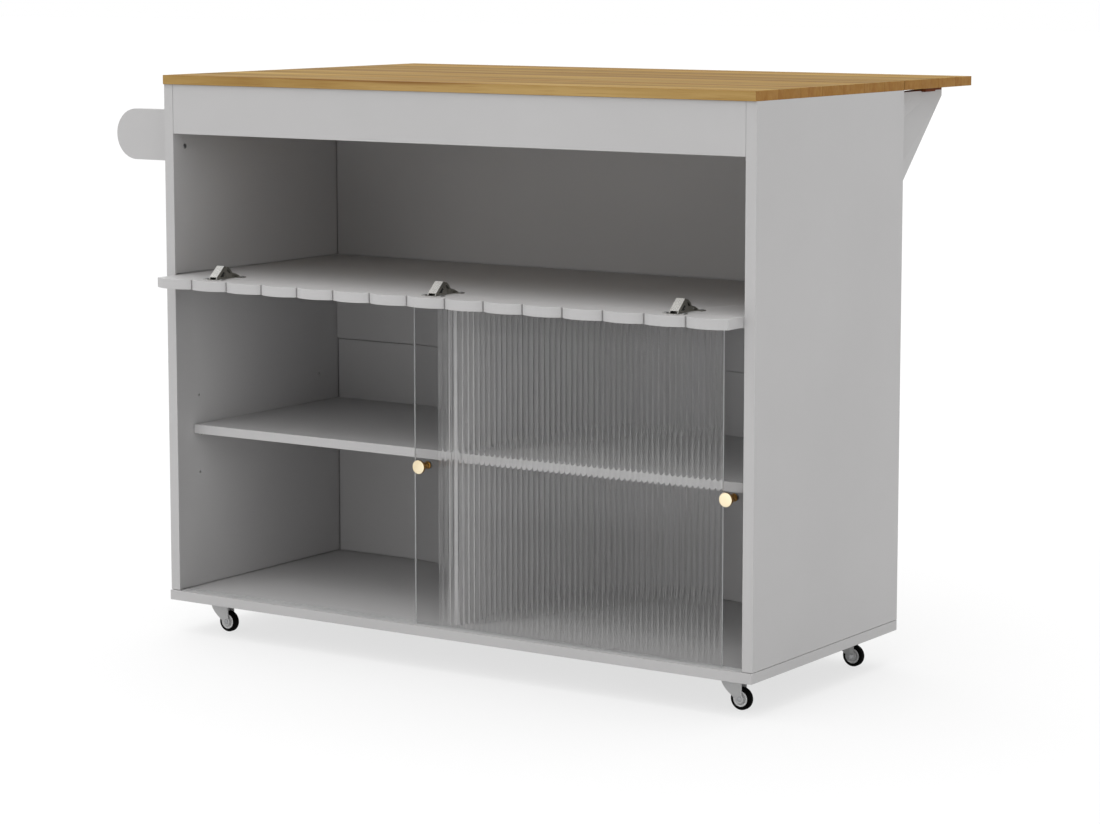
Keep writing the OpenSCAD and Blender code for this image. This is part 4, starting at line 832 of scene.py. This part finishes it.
def make_glass(name, body, sheen, soft):
    """Grey-tinted glass: the tone of its body, how bright its sheen is, and how soft its face."""
    material, tree, shader = new_material(name)
    place = add(tree, "ShaderNodeTexCoord")
    skin = add(tree, "ShaderNodeGroup", node_tree=spray_skin)
    for label, value in (("Grain", 60.0), ("Drift", 4.0)):
        skin.inputs[label].default_value = value
    tree.links.new(place.outputs["Object"], skin.inputs["Vector"])
    tree.links.new(spread(tree, skin.outputs["Tone"], 0.0, 1.0, 0.5 * soft, soft), shader.inputs["Roughness"])
    shader.inputs["Base Color"].default_value = (body, body, body, 1.0)
    shader.inputs["Specular Tint"].default_value = (sheen, sheen, sheen, 1.0)
    shader.inputs["Transmission Weight"].default_value = 1.0
    shader.inputs["IOR"].default_value = 1.45
    return material


# Two copies of one glass: the plain strip's has a darker body and a dimmer reflection than the fluted part's, painted
# shade on the strip.
shaded_strip_glass = make_glass("shaded_plain_strip_glass", 0.75, 0.15, 0.02)
fluted_glass = make_glass("fluted_glass", 0.97, 0.6, 0.04)
painted_glint_edge, _ = skinned("painted_glint_glass_edge", tone(196, 198, 198), tone(212, 214, 214), 0.5, 0.7, 1500.0)
flute_rule = make_flute_rule()
PLAIN_STRIP = 45.25 * MM
FLUTES = 52
FLUTE_DEPTH = 1.7 * MM
KNOB_BORE_R = 2.4 * MM
for door, way in (("left_door", 1), ("right_door", -1)):
    low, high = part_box(door + "_glass")
    knob_low, knob_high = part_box(door + "_knob")
    knob_edge = low.x if way > 0 else high.x
    pane = grow(flute_rule, {
        "Plain": PLAIN_STRIP, "Pitch": (high.x - low.x - PLAIN_STRIP) / FLUTES, "Flutes": FLUTES,
        "Depth": FLUTE_DEPTH, "Thickness": high.y - low.y, "Height": high.z - low.z, "Material": shaded_strip_glass})
    put(pane, Matrix.Diagonal((way, 1, 1, 1)), Matrix.Translation((knob_edge, low.y, low.z)))
    bmesh.ops.recalc_face_normals(pane, faces=pane.faces)
    middle = (knob_low + knob_high) / 2
    bore = put(turned([(0, -9 * MM), (KNOB_BORE_R, -9 * MM), (KNOB_BORE_R, 9 * MM), (0, 9 * MM)]),
               Matrix.Rotation(math.pi / 2, 4, "X"), Matrix.Translation((middle.x, (low.y + high.y) / 2, middle.z)))
    pane = keep("fluted_" + door + "_pane", carve(pane, bore), 32)
    dress(pane, door, "fluted_glass", shaded_strip_glass, door + "_glass")
    inlay(pane, fluted_glass, lambda face: abs(face.center.x - knob_edge) > PLAIN_STRIP
          and abs(face.normal.x) < 0.99 and face.center.y < high.y - 0.1 * MM)
    # Painted highlight: the pane's edges take a pale opaque grey for the bright glint of a glass edge.
    inlay(pane, painted_glint_edge, lambda face: abs(face.normal.x) > 0.99 or abs(face.normal.z) > 0.9)
    pane.visible_shadow = False
    pane.visible_diffuse = False


# Door knobs. Turned brass, a broad satin face on a waisted stem, with a steel screw and washer
# through the glass from behind. The face is painted pale brass as a painted reflection of the bright room, and the stem
# dark brass as painted shade.
painted_glint_brass_face = plated("painted_reflection_brass_face", tone(228, 212, 178), tone(236, 222, 192), 0.3, 0.42, 500.0)
painted_shade_brass_stem = plated("shaded_brass_stem", tone(166, 118, 52), tone(196, 148, 80), 0.22, 0.34, 500.0)
KNOB_FACE_T = 5 * MM
knob_profile = [(0, 0), (6, 0), (6.3, 0.3), (6.3, 1.2), (5.9, 1.7), (5.5, 2.6), (5.4, 8), (5.5, 14),
                (5.7, 17.4), (6.4, 19.2), (8, 20), (10.2, 20.2), (10.8, 20.6), (11, 21.3), (11, 24.1),
                (10.8, 24.6), (10.3, 24.9), (9.6, 25), (0, 25)]
for side in ("left", "right"):
    door = side + "_door"
    low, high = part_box(door + "_knob")
    knob = put(turned([(r * MM, h * MM) for r, h in knob_profile], 48), Matrix.Rotation(math.pi / 2, 4, "X"),
               Matrix.Translation(((low.x + high.x) / 2, high.y, (low.z + high.z) / 2)))
    knob = keep("turned_" + door + "_knob", knob, 30)
    dress(knob, door, "brass", painted_shade_brass_stem, door + "_knob")
    # Painted reflection: the front face takes the pale brass, the rest of the knob the dark brass as painted shade.
    inlay(knob, painted_glint_brass_face, lambda face: face.normal.y < -0.5 and face.center.y < low.y + KNOB_FACE_T / 2)
    node = side + "_knob_screw"
    dress(keep("steel_" + node, soften(packed_copy(node), PIN_EDGE, 1)), door, "steel", steel, node)


# Screws. Pan-head steel screws with a rolled thread and a cross recess hold the hinges and the
# casters; longer ones of the same make hold the carcass and the towel rail.
def make_fastener_rule():
    """A fastener at each point of a mesh, its head along the point's own direction."""
    tree, given, out = new_rule("placed_fasteners", [("Fastener", "NodeSocketObject", None)])
    aim = add(tree, "GeometryNodeInputNamedAttribute", {"Name": "aim"}, data_type="FLOAT_VECTOR")
    turn = add(tree, "FunctionNodeAlignRotationToVector", {"Vector": aim.outputs[0]}, axis="Z")
    shape = add(tree, "GeometryNodeObjectInfo", {"Object": given.outputs["Fastener"]})
    placed = add(tree, "GeometryNodeInstanceOnPoints", {"Points": given.outputs["Geometry"],
                 "Instance": shape.outputs["Geometry"], "Rotation": turn.outputs[0]})
    return end_rule(tree, given, out, placed.outputs[0])


THREAD_PITCH = 1.6 * MM
THREAD_DEPTH = 0.35 * MM
POINT_L = 3 * MM
RECESS_W = 0.9 * MM
NECK = 1.2 * MM


def screw_shape(length, shank_r, head_r, head_h):
    """A screw with its seat at the origin, its head upwards and its thread below."""
    steps = 12
    made = bmesh.new()
    rings = [[made.verts.new((0, 0, -length))]]
    turns = max(1, round((length - NECK) / (THREAD_PITCH / 4)))
    for k in range(1, turns + 1):
        z = -length + (length - NECK) * k / turns
        core = (shank_r - THREAD_DEPTH) * min(1, (z + length) / POINT_L)
        row = []
        for i in range(steps):
            share = (z / THREAD_PITCH - i / steps) % 1
            radius = core + THREAD_DEPTH * (1 - abs(2 * share - 1))
            row.append(made.verts.new((radius * math.cos(math.tau * i / steps),
                                       radius * math.sin(math.tau * i / steps), z)))
        rings.append(row)
    for radius, z in ((shank_r, 0), (head_r, 0), (head_r, 0.25 * head_h), (0.86 * head_r, 0.7 * head_h),
                      (0.5 * head_r, 0.95 * head_h)):
        rings.append([made.verts.new((radius * math.cos(math.tau * i / steps),
                                      radius * math.sin(math.tau * i / steps), z)) for i in range(steps)])
    rings.append([made.verts.new((0, 0, head_h))])
    for lower, upper in zip(rings, rings[1:]):
        for i in range(steps):
            corners = [row[k % len(row)] for row, k in ((lower, i), (lower, i + 1), (upper, i + 1), (upper, i))]
            made.faces.new(list(dict.fromkeys(corners)))
    bmesh.ops.recalc_face_normals(made, faces=made.faces)
    arm, deep = 0.55 * head_r, 0.35 * head_h
    return carve(made, block((-arm, -RECESS_W / 2, deep), (arm, RECESS_W / 2, 2 * head_h)),
                 block((-RECESS_W / 2, -arm, deep), (RECESS_W / 2, arm, 2 * head_h)))


def screw_places(node):
    """The seat, direction, length under the head, shank and head radius of each screw in a node."""
    for low, high, points in solids(node):
        size = high - low
        axis = max(range(3), key=lambda i: size[i])
        middle = (low + high) / 2
        widths = {}
        for end in (low, high):
            near = [p for p in points if abs(p[axis] - end[axis]) < 0.1 * MM]
            flat = [Vector((p[i] - middle[i] for i in range(3) if i != axis)).length for p in near]
            widths[end[axis]] = max(flat)
        head, tip = sorted(widths, key=lambda at: -widths[at])
        aim = Vector((0, 0, 0))
        aim[axis] = math.copysign(1, head - tip)
        seat = middle.copy()
        seat[axis] = head - aim[axis] * HEAD_H
        yield seat, aim, round((size[axis] - HEAD_H) / MM, 1), round(widths[tip] / MM, 1), round(
            max(size[i] for i in range(3) if i != axis) / 2 / MM, 1)


HEAD_H = 1.2 * MM
fastener_rule = make_fastener_rule()


def fasten(name, body, places, *nodes):
    """Puts screws at places and keeps them as one piece of a body."""
    kinds = {}
    for seat, aim, *sizes in places:
        kinds.setdefault(tuple(sizes), []).append((seat, aim))
    grown = []
    for (length, shank_r, head_r), spots in kinds.items():
        pattern = keep("pattern_screw", screw_shape(length * MM, shank_r * MM, head_r * MM, HEAD_H))
        points = bpy.data.meshes.new("places")
        points.from_pydata([seat for seat, _ in spots], [], [])
        directions = points.attributes.new("aim", "FLOAT_VECTOR", "POINT")
        for i, (_, aim) in enumerate(spots):
            directions.data[i].vector = aim
        grown.append(grow(fastener_rule, {"Fastener": pattern, "Material": steel}, points))
        bpy.data.objects.remove(pattern)
    dress(keep(name, gather(grown)), body, "steel", steel, *nodes)


for node in ("hinge_screws", "caster_screws", "cabinet_screws", "towel_cheek_screws"):
    fasten("threaded_" + node, "cabinet", screw_places(node), node)

SHORT, LONG, SHANK, HEAD = 8.0, 12.0, 1.6, 3.4
KNUCKLE = 2.2 * MM
LEAF_PLATE = 1.2 * MM
down, up = Vector((0, 0, -1)), Vector((0, 0, 1))
leaf_places = []
for low, high, _ in solids("leaf_hinge_moving_plates"):
    pin = high.y - 30 * MM
    for share in (-1, 1):
        at = ((low.x + high.x) / 2 + share * (high.x - low.x) / 3, (high.y + pin + KNUCKLE) / 2, high.z - LEAF_PLATE)
        leaf_places.append((Vector(at), down, SHORT, SHANK, HEAD))
fasten("threaded_leaf_hinge_screws", "drop_leaf", leaf_places)
for side, out_x in (("left", -1), ("right", 1)):
    places = []
    for low, high, _ in solids(side + "_bracket_hinge_plates"):
        board_x = low.x if out_x > 0 else high.x
        for share in (-1, 1):
            at = (board_x + out_x * LEAF_PLATE, (high.y + low.y + 2 * MM + KNUCKLE) / 2,
                  (low.z + high.z) / 2 + share * (high.z - low.z) / 3)
            places.append((Vector(at), Vector((out_x, 0, 0)), LONG, SHANK, HEAD))
    fasten("threaded_" + side + "_bracket_screws", side + "_bracket", places)
cup_places = [(pin + Vector((share * (CUP_WING - HEAD * MM), -CUP_BACK, -LIFT + SHEET)), up, LONG, SHANK, HEAD)
              for pin in hinge_pins for share in (-1, 1)]
fasten("threaded_flap_cup_screws", "flap", cup_places)


# Casters. A plated plate with its ball race, and a moulded fork that swivels under it and carries
# a wheel with a pale dished centre and a black tyre on a riveted axle.
caster_plastic, _ = skinned("caster_plastic", tone(188, 188, 188), tone(196, 196, 196), 0.35, 0.5, 500.0)
hub_plastic, _ = skinned("hub_plastic", tone(208, 208, 208), tone(216, 216, 216), 0.3, 0.45, 500.0)
tyre_rubber, rubber_shader = skinned("tyre_rubber", tone(3, 3, 3), tone(7, 7, 7), 0.7, 0.85, 1200.0, 40.0, 0.08)
rubber_shader.inputs["Specular IOR Level"].default_value = 0.05
plates = keep("plated_caster_plates", soften(packed_copy("caster_plates"), PIN_EDGE, 1))
dress(plates, "cabinet", "nickel", nickel, "caster_plates")
TYRE_ROUND = 3.6 * MM
ARC_STEPS = 8
FORK_EDGE = 0.35 * MM


def wheel_part(profile, low, high, steps=64):
    """A ring or solid turned about the wheel's axle, which runs along Y."""
    middle = (low + high) / 2
    return put(turned(profile, steps, ring=True), Matrix.Rotation(math.pi / 2, 4, "X"), Matrix.Translation(middle))


def mirrored_profile(half):
    """A ring's outline from its lower half, listed from the bore outwards."""
    return half + [(radius, -height) for radius, height in reversed(half)]


def tyre_profile(low, high):
    """A tyre with a round tread, its walls eased where they meet the bore."""
    outer, bore, half = (high.x - low.x) / 2, HUB_R + 0.1 * MM, (high.y - low.y) / 2
    points = [(bore, -half + 0.6 * MM), (bore + 0.8 * MM, -half + 0.1 * MM), (bore + 1.4 * MM, -half)]
    for i in range(ARC_STEPS + 1):
        turn = math.pi / 2 * i / ARC_STEPS
        points.append((outer - TYRE_ROUND * (1 - math.sin(turn)), -half + TYRE_ROUND * (1 - math.cos(turn))))
    return mirrored_profile(points)


HUB_R = 12 * MM
for corner in ("front_left", "front_right", "rear_left", "rear_right"):
    caster, wheel = corner + "_caster", corner + "_wheel"
    fork = keep("moulded_" + corner + "_fork", soften(packed_copy(corner + "_fork"), FORK_EDGE), 25)
    dress(fork, caster, "caster_plastic", caster_plastic, corner + "_fork")
    low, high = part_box(corner + "_tyre")
    tyre = keep("moulded_" + corner + "_tyre", wheel_part(tyre_profile(low, high), low, high), 40)
    dress(tyre, wheel, "tyre", tyre_rubber, corner + "_tyre")
    low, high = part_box(corner + "_hub")
    hub_half = (high.y - low.y) / 2 / MM
    face = [(2.6, -hub_half), (4, -hub_half), (4.6, 0.9 - hub_half), (7.8, 1.2 - hub_half), (8, 2.4 - hub_half),
            (8.7, 2.4 - hub_half), (8.9, 0.8 - hub_half), (10, 0.1 - hub_half), (11.5, -hub_half), (12, 0.3 - hub_half)]
    hub_profile = mirrored_profile([(r * MM, h * MM) for r, h in face])
    hub = keep("moulded_" + corner + "_hub", wheel_part(hub_profile, low, high), 30)
    dress(hub, wheel, "caster_hub", hub_plastic, corner + "_hub")
    low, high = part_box(corner + "_axle")
    half, head, shank = (high.y - low.y) / 2, (high.x - low.x) / 2, 2.5 * MM
    dome = [(0, -half), (0.6 * head, -half + 0.15 * MM), (0.9 * head, -half + 0.5 * MM), (head, -half + 1.2 * MM),
            (shank, -half + 1.2 * MM)]
    rivet_shape = turned(dome + [(r, -h) for r, h in reversed(dome)], 32)
    put(rivet_shape, Matrix.Rotation(math.pi / 2, 4, "X"), Matrix.Translation((low + high) / 2))
    dress(keep("riveted_" + corner + "_axle", rivet_shape, 30), wheel, "steel", steel, corner + "_axle")


# Studio: a white floor, a white room, and soft light from a few broad sides of it, more from
# above, from the left and from the right, with a weak low lamp in front.
def seen_rays(tree):
    """One where the camera looks, also by a reflection or through glass, and zero for light."""
    ray = add(tree, "ShaderNodeLightPath")
    direct = reckon(tree, "MAXIMUM", ray.outputs["Is Camera Ray"], ray.outputs["Is Glossy Ray"])
    looking = reckon(tree, "MAXIMUM", direct, ray.outputs["Is Transmission Ray"])
    return reckon(tree, "MULTIPLY", looking, reckon(tree, "LESS_THAN", ray.outputs["Diffuse Depth"], 0.5))


FLOOR_GLOW = 0.7
FLOOR_SHADE = 0.2
FLOOR_BOUNCE = 0.5


def make_floor():
    """A white floor that keeps the soft shadow of the island."""
    material, tree, shader = new_material("studio_floor")
    seen = seen_rays(tree)
    grey = spread(tree, seen, 0.0, 1.0, FLOOR_BOUNCE, FLOOR_SHADE)
    tree.links.new(add(tree, "ShaderNodeCombineColor", {0: grey, 1: grey, 2: grey}).outputs[0],
                   shader.inputs["Base Color"])
    shader.inputs["Roughness"].default_value = 1.0
    shader.inputs["Specular IOR Level"].default_value = 0.0
    shader.inputs["Emission Color"].default_value = (1, 1, 1, 1)
    tree.links.new(reckon(tree, "MULTIPLY", seen, FLOOR_GLOW), shader.inputs["Emission Strength"])
    return material


floor_mesh = bmesh.new()
bmesh.ops.create_grid(floor_mesh, x_segments=1, y_segments=1, size=40)
floor = keep("studio_floor", floor_mesh)
floor.data.materials.append(make_floor())

BROAD, NARROW = 6, 30
SOFT_LIGHTS = (("overhead", (0, 0, 1), BROAD, 3.2), ("left", (-1, 0, 0.3), BROAD, 1.3),
               ("left_rear_high", (-0.6, 0.5, 0.6), BROAD, 2.2), ("right_rear", (0.6, 0.8, 0.3), BROAD, 1.3),
               ("front_high", (0, -0.7, 0.7), BROAD, 1.65), ("front", (-0.45, -1, 0.08), NARROW, 2.0),
               ("right", (1, -0.25, 0.1), NARROW, 3.5), ("right_front", (1, -0.8, 0.1), NARROW, 1.1))
world = bpy.data.worlds.new("studio_air")
bpy.context.scene.world = world
world.use_nodes = True
sky = world.node_tree
background = sky.nodes["Background"]
background.inputs["Color"].default_value = (1, 1, 1, 1)
ray_direction = add(sky, "ShaderNodeTexCoord").outputs["Generated"]
light_level = 0.0
for label, aim, spread_power, strength in SOFT_LIGHTS:
    facing = add(sky, "ShaderNodeVectorMath", {0: ray_direction, 1: Vector(aim).normalized()},
                 operation="DOT_PRODUCT", label=label).outputs["Value"]
    pool = reckon(sky, "POWER", reckon(sky, "MAXIMUM", facing, 0.0), spread_power)
    light_level = reckon(sky, "MULTIPLY_ADD", pool, strength, light_level)
level = add(sky, "ShaderNodeMix", {0: seen_rays(sky), 2: light_level, 3: 1.0}, data_type="FLOAT")
sky.links.new(level.outputs[0], background.inputs["Strength"])

lamp = bpy.data.lights.new("low_fill", "AREA")
lamp.shape = "RECTANGLE"
lamp.size, lamp.size_y = 1.4, 0.35
lamp.energy = 1.2
lamp_object = bpy.data.objects.new("low_fill", lamp)
bpy.context.scene.collection.objects.link(lamp_object)
lamp_object.location = (0.1, -1.5, 0.22)
lamp_object.rotation_euler = (Vector((0.06, -0.1, 0.45)) - lamp_object.location).to_track_quat("-Z", "Y").to_euler()

CAMERA_YAW = math.radians(33.827)
CAMERA_PITCH = math.radians(-7.265)
camera = bpy.data.cameras.new("camera")
camera.lens = 102.376
camera.sensor_width = 36
camera.shift_y = -0.05
camera_object = bpy.data.objects.new("camera", camera)
bpy.context.scene.collection.objects.link(camera_object)
camera_object.location = (2.8858, -4.2339, 1.1175)
camera_object.rotation_euler = (math.pi / 2 + CAMERA_PITCH, 0, CAMERA_YAW)
bpy.context.scene.camera = camera_object
bpy.context.scene.view_settings.view_transform = "Standard"
